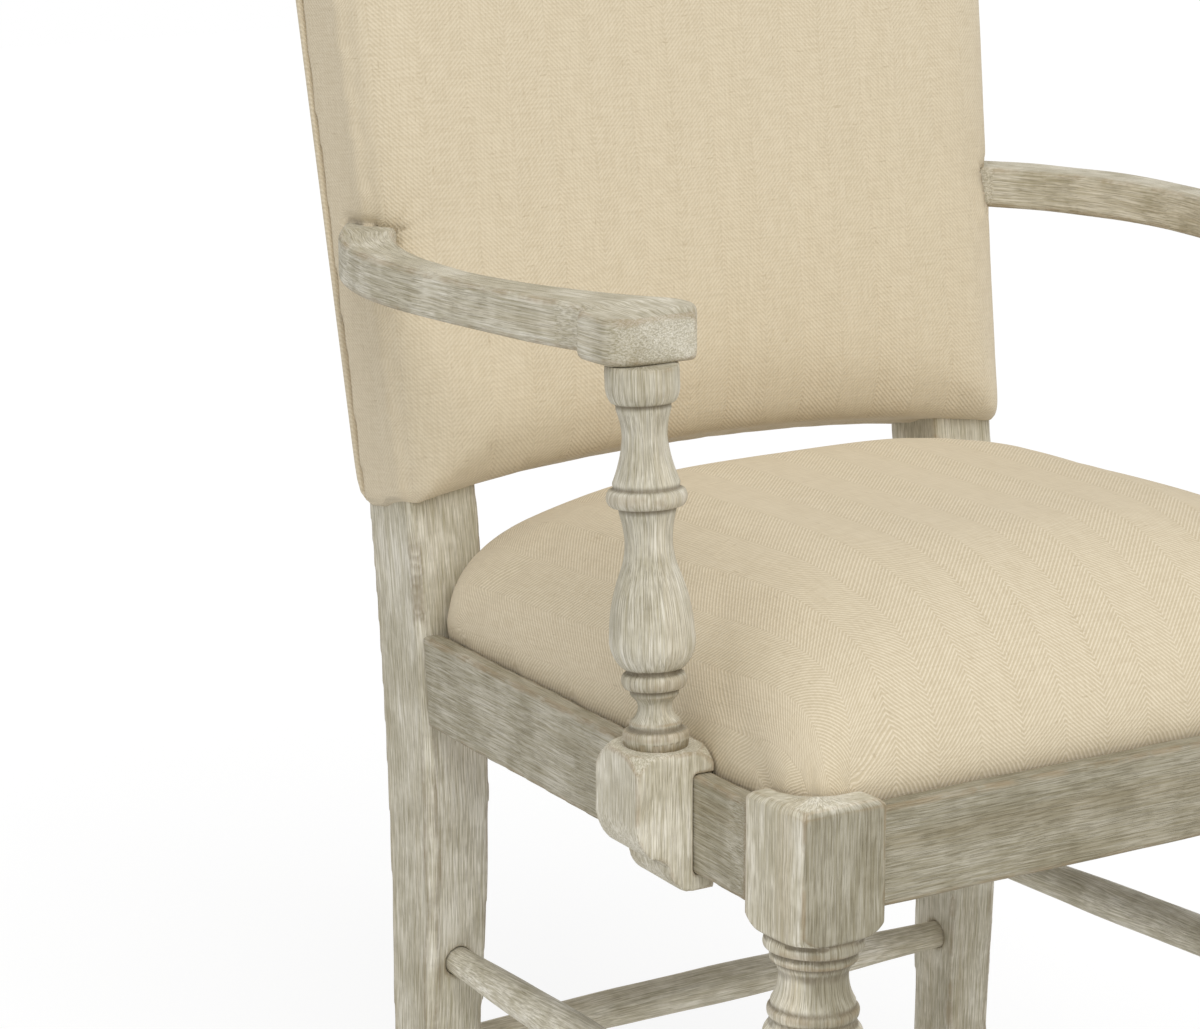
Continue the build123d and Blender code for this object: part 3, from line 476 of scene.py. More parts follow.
def object_place(tree):
    """Object coordinates."""
    return tree.nodes.new("ShaderNodeTexCoord").outputs["Object"]


def attribute(tree, name, output="Fac"):
    """A mesh attribute."""
    step = tree.nodes.new("ShaderNodeAttribute")
    step.attribute_name = name
    return step.outputs[output]


def raise_from(tree, shader, height, distance, strength=1.0):
    """Bump on a shader."""
    bump = tree.nodes.new("ShaderNodeBump")
    feed_all(tree, bump, Strength=strength, Distance=distance, Height=height)
    feed(tree, shader.inputs["Normal"], bump.outputs[0])


# How far the grain is stretched along each axis, and tints of young and lit, old and shaded, dull and pale
# wood: the first two carry age with painted light and shade
ALONG = 0.028
GRAIN_WAYS = {"upright": (1.0, 1.0, ALONG), "deep": (1.0, ALONG, 1.0), "cross": (ALONG, 1.0, 1.0)}
YOUNG_AND_LIT, OLD_AND_SHADED = (1.35, 1.35, 1.37), (0.56, 0.54, 0.48)
DULL, PALE = (0.85, 0.84, 0.80), (1.13, 1.14, 1.17)


def limed_wood(way):
    """Grey-washed wood with brown rub-through, its grain along one axis."""
    name = "limed_wood_" + way
    if name in bpy.data.materials:
        return bpy.data.materials[name]
    look = bpy.context.scene.armchair_wood
    material, tree, shader = new_material(name)
    spot = object_place(tree)
    along = attribute(tree, "grain", "Vector")
    grain = use_group(tree, grain_group(), Vector=along, Stretch=GRAIN_WAYS[way])
    arris, hollow = attribute(tree, "arris"), attribute(tree, "hollow")
    worn = use_group(tree, wear_group(), Vector=spot, Arris=arris, Hollow=hollow)
    wash = blend(tree, rise(tree, grain["Streak"], 0.30, 0.70), look.shade, look.wash)
    wash = blend(tree, rise(tree, grain["Tone"], 0.50, 0.72, 0.0, 0.4), wash, look.bare)
    wash = blend(tree, calc(tree, "MULTIPLY", grain["Pore"], 0.4), wash, look.pore)
    # Tint by age and by painted light and shade, set per piece and per face direction
    wash = blend(tree, 1.0, wash, blend(tree, attribute(tree, "age"), YOUNG_AND_LIT, OLD_AND_SHADED), "MULTIPLY")
    patch = rise(tree, noise(tree, spot, 26.0, 4.0, 0.62), 0.36, 0.64)
    wash = blend(tree, 1.0, wash, blend(tree, patch, DULL, PALE), "MULTIPLY")
    wash = blend(tree, calc(tree, "MULTIPLY", worn["Rub"], 0.45), wash, look.rub)
    wash = blend(tree, calc(tree, "MULTIPLY", worn["Glaze"], 0.80), wash, look.glaze)
    rough = rise(tree, grain["Streak"], 0.3, 0.7, 0.72, 0.56)
    feed_all(tree, shader, Base_Color=wash, Roughness=rough, Specular_IOR_Level=0.35)
    raise_from(tree, shader, grain["Height"], 0.0002)
    return material


def plain_wood():
    """Unfinished beech for the hidden frame."""
    material, tree, shader = new_material("plain_beech")
    grain = use_group(tree, grain_group(), Vector=object_place(tree), Stretch=GRAIN_WAYS["cross"])
    tone = blend(tree, rise(tree, grain["Streak"], 0.3, 0.7), linear(168, 128, 88), linear(201, 166, 122))
    tone = blend(tree, calc(tree, "MULTIPLY", grain["Pore"], 0.4), tone, linear(128, 92, 60))
    feed_all(tree, shader, Base_Color=tone, Roughness=rise(tree, grain["Streak"], 0.3, 0.7, 0.75, 0.6))
    raise_from(tree, shader, grain["Height"], 0.0003)
    return material


def herringbone_cloth():
    """Beige linen herringbone, read from the cloth's own flat pattern."""
    name = "beige_herringbone"
    if name in bpy.data.materials:
        return bpy.data.materials[name]
    look = bpy.context.scene.armchair_cloth
    material, tree, shader = new_material(name)
    flat = attribute(tree, "weave", "Vector")
    twill = use_group(tree, herringbone_group(), Vector=flat, Column=look.column, Pitch=look.pitch)
    slub = use_group(tree, slub_group(), Vector=flat)
    # Painted light and shade of the twill's ribs, scaled per piece; where it is strong, as on the seat, the
    # cloth is painted darker overall
    ribs = rise(tree, twill["Rib"], 0.15, 0.9, -0.70, 0.25)
    ribs = calc(tree, "MULTIPLY_ADD", ribs, attribute(tree, "rib_shading"), 0.6)
    tone = blend(tree, ribs, look.shade, look.light)
    tone = blend(tree, rise(tree, twill["Thread"], 0.36, 0.62, 0.30, 0.0), tone, look.gap)
    tone = blend(tree, rise(tree, slub["Band"], 0.35, 0.7, 0.0, 0.12), tone, look.light)
    tone = blend(tree, calc(tree, "MULTIPLY", twill["Turn"], 0.06), tone, look.gap)
    tone = blend(tree, calc(tree, "MULTIPLY", slub["Fleck"], 0.24), tone, look.fleck)
    rough = rise(tree, twill["Thread"], 0.3, 0.7, 0.95, 0.82)
    feed_all(tree, shader, Base_Color=tone, Roughness=rough, Specular_IOR_Level=0.15)
    feed_all(tree, shader, Sheen_Weight=0.12, Sheen_Roughness=0.5)
    raise_from(tree, shader, twill["Height"], 0.0005, 0.8)
    return material


def lining_cloth():
    """Dark spun lining under the seat."""
    material, tree, shader = new_material("dust_lining")
    spot = object_place(tree)
    fibre = noise(tree, spot, 900.0, 3.0, 0.7)
    spun = noise(tree, spot, 160.0, 4.0, 0.7)
    tone = blend(tree, rise(tree, fibre, 0.3, 0.7), linear(38, 36, 33), linear(66, 62, 56))
    rough = rise(tree, spun, 0.3, 0.7, 0.95, 0.8)
    feed_all(tree, shader, Base_Color=tone, Roughness=rough, Specular_IOR_Level=0.15)
    raise_from(tree, shader, calc(tree, "ADD", fibre, spun), 0.0004)
    return material


def bright_steel():
    """Zinc-plated steel for screws and staples."""
    name = "plated_steel"
    if name in bpy.data.materials:
        return bpy.data.materials[name]
    material, tree, shader = new_material(name)
    cloud = noise(tree, object_place(tree), 300.0, 3.0)
    tone = blend(tree, cloud, linear(150, 148, 142), linear(196, 195, 190))
    rough = rise(tree, cloud, 0.3, 0.7, 0.42, 0.28)
    feed_all(tree, shader, Base_Color=tone, Roughness=rough, Metallic=1.0)
    return material


def glide_plastic():
    """Dark moulded glides."""
    material, tree, shader = new_material("glide_nylon")
    speck = noise(tree, object_place(tree), 700.0)
    tone = blend(tree, speck, linear(58, 50, 42), linear(82, 72, 62))
    feed_all(tree, shader, Base_Color=tone, Roughness=rise(tree, speck, 0.3, 0.7, 0.6, 0.45))
    raise_from(tree, shader, speck, 0.0001)
    return material


# Limed wood pieces

# Softening: rounds of relaxing, and how long the waves of unevenness and of wear are
WOOD_RELAX = 5
UNEVEN_WAVE, WEAR_WAVE = 0.06, 0.045

# Age and painted light and shade that darken the wash: usual, painted shade on undersides, less on a hewn
# band, and how far a face turns for the painted shade on fronts and undersides
USUAL_AGE_AND_SHADE, UNDERSIDE_SHADE, HEWN_AGE = 0.33, 0.18, 0.12
FRONT_SHADE_TURN, UNDER_SHADE_TURN = (0.4, 0.9), (0.15, 0.8)

# Grain that follows a bent piece: slices along it, and the width that each slice is spread over
GRAIN_SLICE, GRAIN_WIDTH = 0.008, 0.04

# Turned score lines, which a level face doesn't have
SCORE_WIDTH, SCORE_DEPTH = 0.0011, 0.0012
LEVEL = 0.95

# Hewn band of the rear legs: slices, width and wobble, edges, marks on them, where it ends, room at the rails
HEWN_SLICE = 0.006
HEWN_WIDTH, HEWN_WOBBLE, HEWN_WAVE = 0.0058, 0.0011, 0.03
HEWN_FADE, HEWN_LINE, HEWN_DEPTH = 0.0012, 0.0010, 0.0007
HEWN_RUB, HEWN_GLAZE = 0.9, 0.5
HEWN_TOP = (0.455, 0.475)
HEWN_ROOM = 0.012

# Rounded outer corners of the arm's pad: half width, depth behind the pad's front, and radius
PAD_CORNERS = ((0.2553, 0.0140, 0.0137), (0.2600, 0.0330, 0.0090))
PAD_EASE = 0.003

# Arm posts' ends: how far inside and outside an end its points are sought, and how far into the wood they go
END_NEAR, END_OVER, END_IN = 0.005, 0.001, 0.0002


def slice_ends(along, values, step):
    """Each point's slice along a piece, and every slice's least and greatest value."""
    level = ((along - along.min()) / step).astype(int)
    least, most = np.full(level.max() + 1, np.inf), np.full(level.max() + 1, -np.inf)
    np.minimum.at(least, level, values)
    np.maximum.at(most, level, values)
    return level, least, most


def slice_least(height, values):
    """Least of the values in thin slices up a piece, smoothed, at each point."""
    level, least, _ = slice_ends(height, values, HEWN_SLICE)
    least = np.convolve(np.pad(least, 2, mode="edge"), np.ones(5) / 5, mode="valid")
    return least[level]


def running_median(values):
    """Median of each value with its two neighbours on both sides."""
    windows = np.lib.stride_tricks.sliding_window_view(np.pad(values, 2, mode="edge"), 5)
    return np.median(windows, axis=1)


def slice_share(along, values):
    """How far across a piece each point lies in slices along it, over the grain's width."""
    _, least, most = slice_ends(along, values, GRAIN_SLICE)
    middles = along.min() + GRAIN_SLICE * (np.arange(len(least)) + 0.5)
    least, most = (np.interp(along, middles, running_median(ends)) for ends in (least, most))
    return GRAIN_WIDTH * (values - least) / (most - least)


def hewn_band(places, seed):
    """Wobbly band along the arris between a rear leg's outer and front faces, and its two edges."""
    side, depth, height = np.abs(places[:, 0]), places[:, 1], places[:, 2]
    apart = np.abs(slice_least(height, -side) + side) + depth - slice_least(height, depth)
    width = HEWN_WIDTH + HEWN_WOBBLE * waves(places, HEWN_WAVE, seed)
    at_rail = smooth(RAIL_LOW[2] - HEWN_ROOM, RAIL_LOW[2], height)
    at_rail *= 1.0 - smooth(RAIL_TOP, RAIL_TOP + HEWN_ROOM, height)
    free = (1.0 - smooth(*HEWN_TOP, height)) * (1.0 - at_rail)
    band = (1.0 - smooth(width - HEWN_FADE, width, apart)) * free
    edge = np.exp(-(((apart - width) / HEWN_LINE) ** 2)) * free
    return band, edge


def unrolled(places, foot, head):
    """Grain coordinates of a turning: round it, out from its axis and up it."""
    round_scale, out_scale = 0.024, 0.12
    up = places[:, 2]
    share = (up - foot[2]) / (head[2] - foot[2])
    across = places[:, 0] - foot[0] - share * (head[0] - foot[0])
    depth = places[:, 1] - foot[1] - share * (head[1] - foot[1])
    turn = np.arctan2(across, -depth)
    return np.column_stack([round_scale * turn + foot[0], out_scale * np.hypot(across, depth), up])


def scored(places, foot, head, lines):
    """How deep turned score lines cut at each point: lines are heights up the axis."""
    axis = np.array(head) - np.array(foot)
    up = (places - np.array(foot)) @ (axis / np.linalg.norm(axis))
    total = np.zeros(len(places))
    for line in lines:
        total += np.exp(-(((up - line) / SCORE_WIDTH) ** 2))
    return np.minimum(total, 1.0)


def drawn_ends(places, ways, low, high):
    """Brings a post's two ends to the wood below and above it."""
    level, up = places[:, 2].copy(), ways[:, 2]
    foot = (up < -0.5) & (level > low - END_OVER) & (level < low + END_NEAR)
    top = (up > 0.5) & (level < high + END_OVER) & (level > high - END_NEAR)
    places[foot, 2] = low - END_IN
    places[top, 2] = high + END_IN


def wear_marks(places, ways, edges, spacing):
    """Raised arrises and hollows, each from 0 to 1, by the surface's bend per millimetre."""
    start = bpy.context.scene.armchair_wood.arris_bend
    full = 3.0 * start
    bend = -4.0 * np.sum((neighbour_mean(places, edges) - places) * ways, axis=1) / (spacing * spacing)
    bend = bend / 1000.0
    for _ in range(3):
        bend = 0.5 * bend + 0.5 * neighbour_mean(bend, edges)
    return smooth(start, full, bend), smooth(start, full, -bend)


def worn_piece(
    node, way, spacing, age=USUAL_AGE_AND_SHADE, front_age=None, extra=(), heights=None, seats=None,
    lines=None, hewn=False, bowed=False,
):
    """A wooden node with softened, slightly uneven arrises and its worn places marked.

    Extra meshes are joined to it, heights moves levels to new ones, seats brings its ends to two levels,
    lines are a turning's foot, head and score lines, and the grain of a hewn or bowed piece follows it.
    """
    look = bpy.context.scene.armchair_wood
    mesh = merged_copy(node)
    if extra:
        with edited(mesh) as shape:
            for added in extra:
                shape.from_mesh(added)
                bpy.data.meshes.remove(added)
    mesh = even_mesh(mesh, spacing)
    edges = edges_of(mesh)
    places = relax(points_of(mesh), edges, WOOD_RELAX)
    if heights:
        inside = (places[:, 2] > heights[0][0]) & (places[:, 2] < heights[0][-1])
        places[inside, 2] = np.interp(places[inside, 2], *heights)
    set_points(mesh, places)
    ways = normals_of(mesh)
    seed = sum(ord(letter) for letter in node)
    places = places + ways * (look.uneven * waves(places, UNEVEN_WAVE, seed))[:, None]
    if seats:
        drawn_ends(places, ways, *seats)
    set_points(mesh, places)
    arris, hollow = wear_marks(places, ways, edges, spacing)
    depth = look.wear * arris * np.clip(0.5 + 0.6 * waves(places, WEAR_WAVE, seed + 1), 0.0, 1.0)
    aged_and_shaded = np.full(len(places), age)
    # Painted light and shade on front faces, set by the way a face turns
    if front_age is not None:
        aged_and_shaded += (front_age - age) * smooth(*FRONT_SHADE_TURN, -ways[:, 1])
    grain = places
    if bowed:
        grain = np.column_stack([slice_share(places[:, 1], places[:, 0]), places[:, 1], places[:, 2]])
    if hewn:
        grain = np.column_stack([places[:, 0], slice_share(places[:, 2], places[:, 1]), places[:, 2]])
        band, edge = hewn_band(places, seed)
        depth = depth + HEWN_DEPTH * band
        arris = np.maximum(arris, HEWN_RUB * edge)
        hollow = np.maximum(hollow, HEWN_GLAZE * edge)
        aged_and_shaded -= HEWN_AGE * band
    if lines:
        grain = unrolled(places, *lines[:2])
        score = scored(places, *lines) * (np.abs(ways[:, 2]) < LEVEL)
        depth = depth + SCORE_DEPTH * score
        hollow = np.maximum(hollow, score)
    # Painted shade on faces that look down
    aged_and_shaded += UNDERSIDE_SHADE * smooth(*UNDER_SHADE_TURN, -ways[:, 2])
    for name, values in (("arris", arris), ("hollow", hollow), ("age", aged_and_shaded), ("grain", grain)):
        store(mesh, name, values)
    set_points(mesh, places - ways * depth[:, None])
    place(node + "_limed", mesh, limed_wood(way), [node])


def worn_pieces(nodes, way, spacing, **options):
    """Several like pieces."""
    for node in nodes:
        worn_piece(node, way, spacing, **options)


def rounded_disc(centre, radius, low, high):
    """Upright disc with eased rims."""
    part = 0.3 * PAD_EASE
    rims = [(radius - PAD_EASE, low), (radius - part, low + part), (radius, low + PAD_EASE)]
    rims += [(size, low + high - level) for size, level in reversed(rims)]
    turns = np.linspace(0, 2 * math.pi, 40, endpoint=False)
    x, y = centre
    rings = []
    for size, level in rims:
        rings.append([(x + size * math.cos(turn), y + size * math.sin(turn), level) for turn in turns])
    return ring_mesh("disc", rings)


def arm_pad_corners(node):
    """Full rounds for the outer corners of an arm's pad."""
    low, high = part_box(node)
    discs = []
    for half, depth, radius in PAD_CORNERS:
        discs.append(rounded_disc((side_of(node) * half, low[1] + depth), radius, low[2], high[2]))
    return discs


# Padded pieces

# How the covers behave while they swell
COVER_CLOTH = {
    "quality": 5,
    "mass": 0.25,
    "tension_stiffness": 12.0,
    "compression_stiffness": 12.0,
    "shear_stiffness": 5.0,
    "bending_stiffness": 0.4,
    "use_pressure": True,
    "vertex_group_mass": "held",
}

# How far swelling may move the seat's and the back's cloth
SEAT_SWELL, BACK_SWELL = 0.0035, 0.0028

# How strongly the painted light and shade of the twill's ribs shows on the seat and on the back; the stronger
# seat setting also paints the seat darker overall
SEAT_RIB_SHADING, BACK_RIB_SHADING = 2.0, 0.5

# Seat, above the rail: where it is fixed, drawn down and smoothed, and in how many rounds
SEAT_HELD, SEAT_TUCKED = 0.003, 0.004
SEAT_FIRM, SEAT_FREE, SEAT_FREE_LATER = 0.006, 0.030, 0.020
SEAT_ROUNDS, SWOLLEN_ROUNDS = 26, 8

# Bulge of the seat's sides: how far, up to which height, and where it begins, is full and ends again
BULGE, BULGE_TOP = 0.006, 0.075
BULGE_START, BULGE_FULL, BULGE_FALL, BULGE_END = (FRONT + depth for depth in (0.28, 0.385, 0.405, 0.418))

# Section of the seat's edge: share of the crown's height, and how far inside the rim
SEAT_STEPS = (
    (0.0, 0.0), (0.2, -0.001), (0.36, 0.005), (0.54, 0.0164),
    (0.72, 0.033), (0.87, 0.054), (0.96, 0.077), (1.0, 0.106),
)

# Section of the back's edge: height over the posts' fronts, and how far inside the rim
BACK_STEPS = (
    (0.006, 0.0), (0.011, 0.002), (0.0155, 0.006), (0.020, 0.0145),
    (0.0238, 0.030), (0.0265, 0.054), (0.028, 0.090), (0.0285, 0.130),
)

# Back, over the posts' fronts: its rear edge, where it is fixed, and where it is smoothed
BACK_REAR, BACK_HELD, BACK_FIRM, BACK_FREE = -0.060, -0.030, -0.022, -0.002

# Slack left in the back for swelling, and rounds of relaxing before it
BACK_SLACK, BACK_RELAX = 0.0015, 6

# Back's sides: how far the cloth lies inside the rim, and how near, low and sideways a point of them is
SIDE_INSET, SIDE_NEAR, SIDE_LIFT, SIDEWAYS = 0.0012, 0.012, 0.001, 0.6

# Cloth beside an arm: room for the wood, reach, closing of the gap, puckers and tuck
ARM_ROOM, ARM_REACH, ARM_PRESS = 0.0005, 0.045, 0.0003
GAP_CLOSED, GAP_OPEN, GAP_FACING = 0.006, 0.009, -0.3
PUCKER, PUCKER_REACH, PUCKER_TURNS, PUCKER_LEAN = 0.0011, 0.011, 9.0, 60.0
TUCK, TUCK_REACH = 0.0028, 0.0035

# Outside panel, from its edge to its middle: how far inside the rim, and behind the posts
PANEL_STEPS = (
    (0.004, 0.0003), (0.0010, 0.0003), (0.0004, 0.0012), (0.0004, 0.0034), (0.0012, 0.0048), (0.0030, 0.0054),
    (0.008, 0.0056), (0.03, 0.0060), (0.07, 0.0066), (0.12, 0.0070), (0.18, 0.0072),
)
PANEL_PATTERN_SHIFT = (0.011, 0.004, 0.0)


def wrap_extra(levels, insets):
    """How far cloth lies outside its plan at each level, when it is laid flat from the crown."""
    steps = np.hypot(np.diff(levels), np.diff(insets))
    run = np.concatenate([[0.0], np.cumsum(steps[::-1])])[::-1]
    return insets - (insets[-1] - run)


def flat_pattern(plan, outward, level, levels, insets):
    """Cloth coordinates: the plan, with the drop over the edges laid out flat."""
    extra = np.interp(level, levels, wrap_extra(levels, insets))
    size = np.maximum(np.linalg.norm(outward, axis=1), 1e-6)
    pattern = plan + outward * (extra / size)[:, None]
    return np.column_stack([pattern, np.zeros(len(pattern))])


def swell(mesh, held, cap):
    """Blows the cover up a little with the held points fixed, and caps how far each point moves."""
    scene = bpy.context.scene
    look = scene.armchair_cloth
    start = points_of(mesh)
    piece = as_object("swelling", mesh)
    group = piece.vertex_groups.new(name="held")
    group.add([int(index) for index in np.nonzero(held)[0]], 1.0, "REPLACE")
    cloth = piece.modifiers.new("cloth", "CLOTH")
    for field, value in COVER_CLOTH.items():
        setattr(cloth.settings, field, value)
    cloth.settings.uniform_pressure_force = look.pressure
    cloth.settings.effector_weights.gravity = 0.0
    cloth.collision_settings.use_collision = False
    cloth.point_cache.frame_start = 1
    cloth.point_cache.frame_end = look.frames
    for number in range(1, look.frames + 1):
        scene.frame_set(number)
    result = settled(piece)
    moved = points_of(result) - start
    length = np.linalg.norm(moved, axis=1)
    share = np.minimum(1.0, cap / np.maximum(length, 1e-9))
    set_points(result, start + moved * share[:, None])
    scene.frame_set(1)
    drop(piece)
    return result


def upholstered(name, mesh, weave, rib_shading, nodes):
    """A finished piece in herringbone cloth, with its flat pattern and how strongly the painted light and
    shade of its ribs shows.
    """
    store(mesh, "weave", weave)
    store(mesh, "rib_shading", np.full(len(mesh.vertices), rib_shading))
    return place(name, mesh, herringbone_cloth(), nodes)


def seat_cushion():
    """Crowned drop-in cushion, its cloth drawn down inside the rails."""
    look = bpy.context.scene.armchair_cloth
    mesh = even_mesh(merged_copy("seat_foam"), CUSHION_FACE)
    edges = edges_of(mesh)
    firm = RAIL_TOP + SEAT_FIRM
    set_points(mesh, ease(points_of(mesh), edges, SEAT_ROUNDS, above(firm, RAIL_TOP + SEAT_FREE)))
    places, ways = points_of(mesh), normals_of(mesh)
    low = 1.0 - smooth(RAIL_TOP, RAIL_TOP + SEAT_TUCKED, places[:, 2])
    places = places + look.cover * np.column_stack([ways[:, :2], np.maximum(ways[:, 2], 0.0)])
    places[:, 2] += (SEAT_LOW[2] - RAIL_TOP) * low
    set_points(mesh, places)
    mesh = swell(mesh, places[:, 2] < RAIL_TOP + SEAT_HELD, SEAT_SWELL)
    places, ways = points_of(mesh), normals_of(mesh)
    full = np.sin(np.pi * np.clip((places[:, 2] - RAIL_TOP) / BULGE_TOP, 0.0, 1.0))
    full *= smooth(BULGE_START, BULGE_FULL, places[:, 1])
    full *= 1.0 - smooth(BULGE_FALL, BULGE_END, places[:, 1])
    places[:, 0] += BULGE * full * ways[:, 0] * np.abs(ways[:, 0])
    set_points(mesh, ease(places, edges_of(mesh), SWOLLEN_ROUNDS, above(firm, RAIL_TOP + SEAT_FREE_LATER)))
    mesh = subdivided(mesh)
    places, ways = points_of(mesh), normals_of(mesh)
    shares, insets = np.transpose(SEAT_STEPS)
    levels = RAIL_TOP + (SEAT_HIGH[2] - RAIL_TOP) * shares
    weave = flat_pattern(places[:, :2], ways[:, :2], places[:, 2], levels, insets)
    nodes = ["seat_cover", "seat_foam", "seat_board"]
    piece = upholstered("seat_cushion", mesh, weave, SEAT_RIB_SHADING, nodes)


class BackPlane:
    """The raked plane of the posts' fronts, and the outline of the upholstery on it."""

    def __init__(self):
        look = self.look = bpy.context.scene.armchair_cloth
        self.start = np.array([0.0, FRONT + look.back_depth, look.back_start])
        self.up = np.array([0.0, math.sin(look.rake), math.cos(look.rake)])
        self.out = np.array([0.0, -math.cos(look.rake), math.sin(look.rake)])
        self.low, self.high = self.height(look.back_bottom), self.height(look.back_top)

    def height(self, level):
        """Distance up the plane to a height above the floor."""
        return (level - self.start[2]) / math.cos(self.look.rake)

    def outline(self, inset, across=48, along=56):
        """Points (x, up) round the back, drawn in by inset."""
        look = self.look
        low, high = self.low + inset, self.high - inset
        low_half, high_half = look.low_half - inset, look.high_half - inset
        points = []
        for share in np.linspace(-1, 1, across, endpoint=False):
            points.append((share * low_half, low + look.low_arch * (1 - share * share)))
        for share in np.linspace(0, 1, along, endpoint=False):
            points.append((low_half + share * (high_half - low_half), low + share * (high - low)))
        for share in np.linspace(1, -1, across, endpoint=False):
            points.append((share * high_half, high + look.top_arch * (1 - share * share)))
        for share in np.linspace(1, 0, along, endpoint=False):
            points.append((-low_half - share * (high_half - low_half), low + share * (high - low)))
        return np.array(points)

    def lifted(self, points, lift):
        """Places of plane points, lifted forwards."""
        lift = np.broadcast_to(lift, (len(points),))
        base = self.start + points[:, 1:2] * self.up + lift[:, None] * self.out
        base[:, 0] += points[:, 0]
        return base

    def rear_lift(self, points):
        """Lift that brings plane points to the posts' rear faces."""
        look = self.look
        front = self.lifted(points, 0.0)
        rear = self.start[1] + look.post_depth + look.rear_slope * (front[:, 2] - self.start[2])
        return -(rear - front[:, 1]) / (math.cos(look.rake) + look.rear_slope * math.sin(look.rake))

    def flat(self, places):
        """Plane coordinates (x, up, lift) of places."""
        rest = places - self.start
        return np.column_stack([rest[:, 0], rest @ self.up, rest @ self.out])

    def lies_over(self, low, high):
        """Freedom from none at a low lift to full at a high one."""
        return lambda places: smooth(low, high, self.flat(places)[:, 2])

    def straight_sides(self, places, ways):
        """Places with the cloth on the back's sides kept flat over the posts."""
        look = self.look
        across, up, lift = self.flat(places).T
        share = (up - self.low) / (self.high - self.low)
        half = look.low_half + share * (look.high_half - look.low_half) - SIDE_INSET
        side = (lift < SIDE_LIFT) & (np.abs(ways[:, 0]) > SIDEWAYS) & (np.abs(across) > half - SIDE_NEAR)
        places = places.copy()
        places[side, 0] = np.sign(across[side]) * half[side]
        return places


def grown_arm(node):
    """A copy of an arm, a little larger all round, that cuts the room for it in the upholstery."""
    mesh = even_mesh(merged_copy(node), ROOM_FACE)
    set_points(mesh, points_of(mesh) + ARM_ROOM * normals_of(mesh))
    return as_object("arm_room", mesh)


def draw_to_arm(mesh, node):
    """Cloth beside an arm: drawn up close to the wood and tucked in, with small puckers round it."""
    wood = merged_copy(node)
    tree = BVHTree.FromPolygons(points_of(wood).tolist(), [tuple(face.vertices) for face in wood.polygons])
    low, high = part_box(node)
    places, ways = points_of(mesh), normals_of(mesh)
    near = np.all((places > np.array(low) - ARM_REACH) & (places < np.array(high) + ARM_REACH), axis=1)
    for index in np.nonzero(near)[0]:
        spot, normal, _, far = tree.find_nearest(Vector(places[index]), ARM_REACH)
        if spot is None:
            continue
        apart = Vector(places[index]) - spot
        within = apart.dot(normal) < 0.0
        facing = Vector(ways[index]).dot(apart) < GAP_FACING * far
        if within or (facing and far < GAP_OPEN):
            share = 1.0 if within else float(1.0 - smooth(GAP_CLOSED, GAP_OPEN, far))
            places[index] += share * (np.array(spot - ARM_PRESS * normal) - places[index])
        elif not facing:
            turn = math.atan2(apart.z, apart.x)
            ripple = math.sin(PUCKER_TURNS * turn + PUCKER_LEAN * places[index][2])
            pucker = math.exp(-far / PUCKER_REACH) * ripple
            tuck = math.exp(-((far / TUCK_REACH) ** 2))
            places[index] += (PUCKER * pucker - TUCK * tuck) * ways[index]
    bpy.data.meshes.remove(wood)
    set_points(mesh, places)


def back_cushion():
    """Padded back: cloth over the front and round the sides, with room for the arms."""
    plane = BackPlane()
    rim = plane.outline(BACK_SLACK)
    rings = [plane.lifted(rim, plane.rear_lift(rim)), plane.lifted(rim, plane.rear_lift(rim) * 0.5)]
    for lift, inset in BACK_STEPS:
        rings.append(plane.lifted(plane.outline(inset + BACK_SLACK), lift - BACK_SLACK))
    arms = pair("arm")
    rooms = [grown_arm(node) for node in arms]
    mesh = even_mesh(ring_mesh("back_start", rings), CUSHION_FACE, rooms)
    for room in rooms:
        drop(room)
    set_points(mesh, relax(points_of(mesh), edges_of(mesh), BACK_RELAX))
    mesh = swell(mesh, plane.flat(points_of(mesh))[:, 2] < BACK_HELD, BACK_SWELL)
    places = ease(points_of(mesh), edges_of(mesh), SWOLLEN_ROUNDS, plane.lies_over(BACK_FIRM, BACK_FREE))
    set_points(mesh, plane.straight_sides(places, normals_of(mesh)))
    mesh = subdivided(mesh)
    for node in arms:
        draw_to_arm(mesh, node)
    flat, ways = plane.flat(points_of(mesh)), normals_of(mesh)
    outward = np.column_stack([ways[:, 0], ways @ plane.up])
    levels, insets = np.transpose(((BACK_REAR, 0.0), *BACK_STEPS))
    weave = flat_pattern(flat[:, :2], outward, flat[:, 2], levels, insets)
    nodes = ["inside_back_cover", "back_foam", "back_webbing"]
    piece = upholstered("back_cushion", mesh, weave, BACK_RIB_SHADING, nodes)


def outside_panel():
    """Cloth-covered panel that closes the back, its edge softly rounded."""
    plane = BackPlane()
    rings = []
    for inset, depth in PANEL_STEPS:
        rim = plane.outline(inset)
        for _ in range(4):
            rim = 0.5 * rim + 0.25 * (np.roll(rim, 1, axis=0) + np.roll(rim, -1, axis=0))
        rings.append(plane.lifted(rim, plane.rear_lift(rim) - depth))
    mesh = ring_mesh("outside_panel", rings)
    weave = plane.flat(points_of(mesh)) * (1.0, 1.0, 0.0) + PANEL_PATTERN_SHIFT
    upholstered("outside_panel", mesh, weave, BACK_RIB_SHADING, ["outside_back_panel"])


# Lining under the seat, with its staples

# Lining: below the solid, hanging middle, drawn-in corners, narrower rear, wall and steps each way
LINING_BELOW, LINING_SAG = 0.0012, 0.003
LINING_CORNERS, LINING_TAPER = 0.14, 0.06
LINING_WALL, LINING_STEPS = 0.0006, 40

# Staples: share of the lining that their path goes round, points along a side, height below it, spacing
STAPLE_PATH, STAPLE_POINTS = 0.95, 24
STAPLE_BELOW, STAPLE_SPACING = 0.0005, 0.032


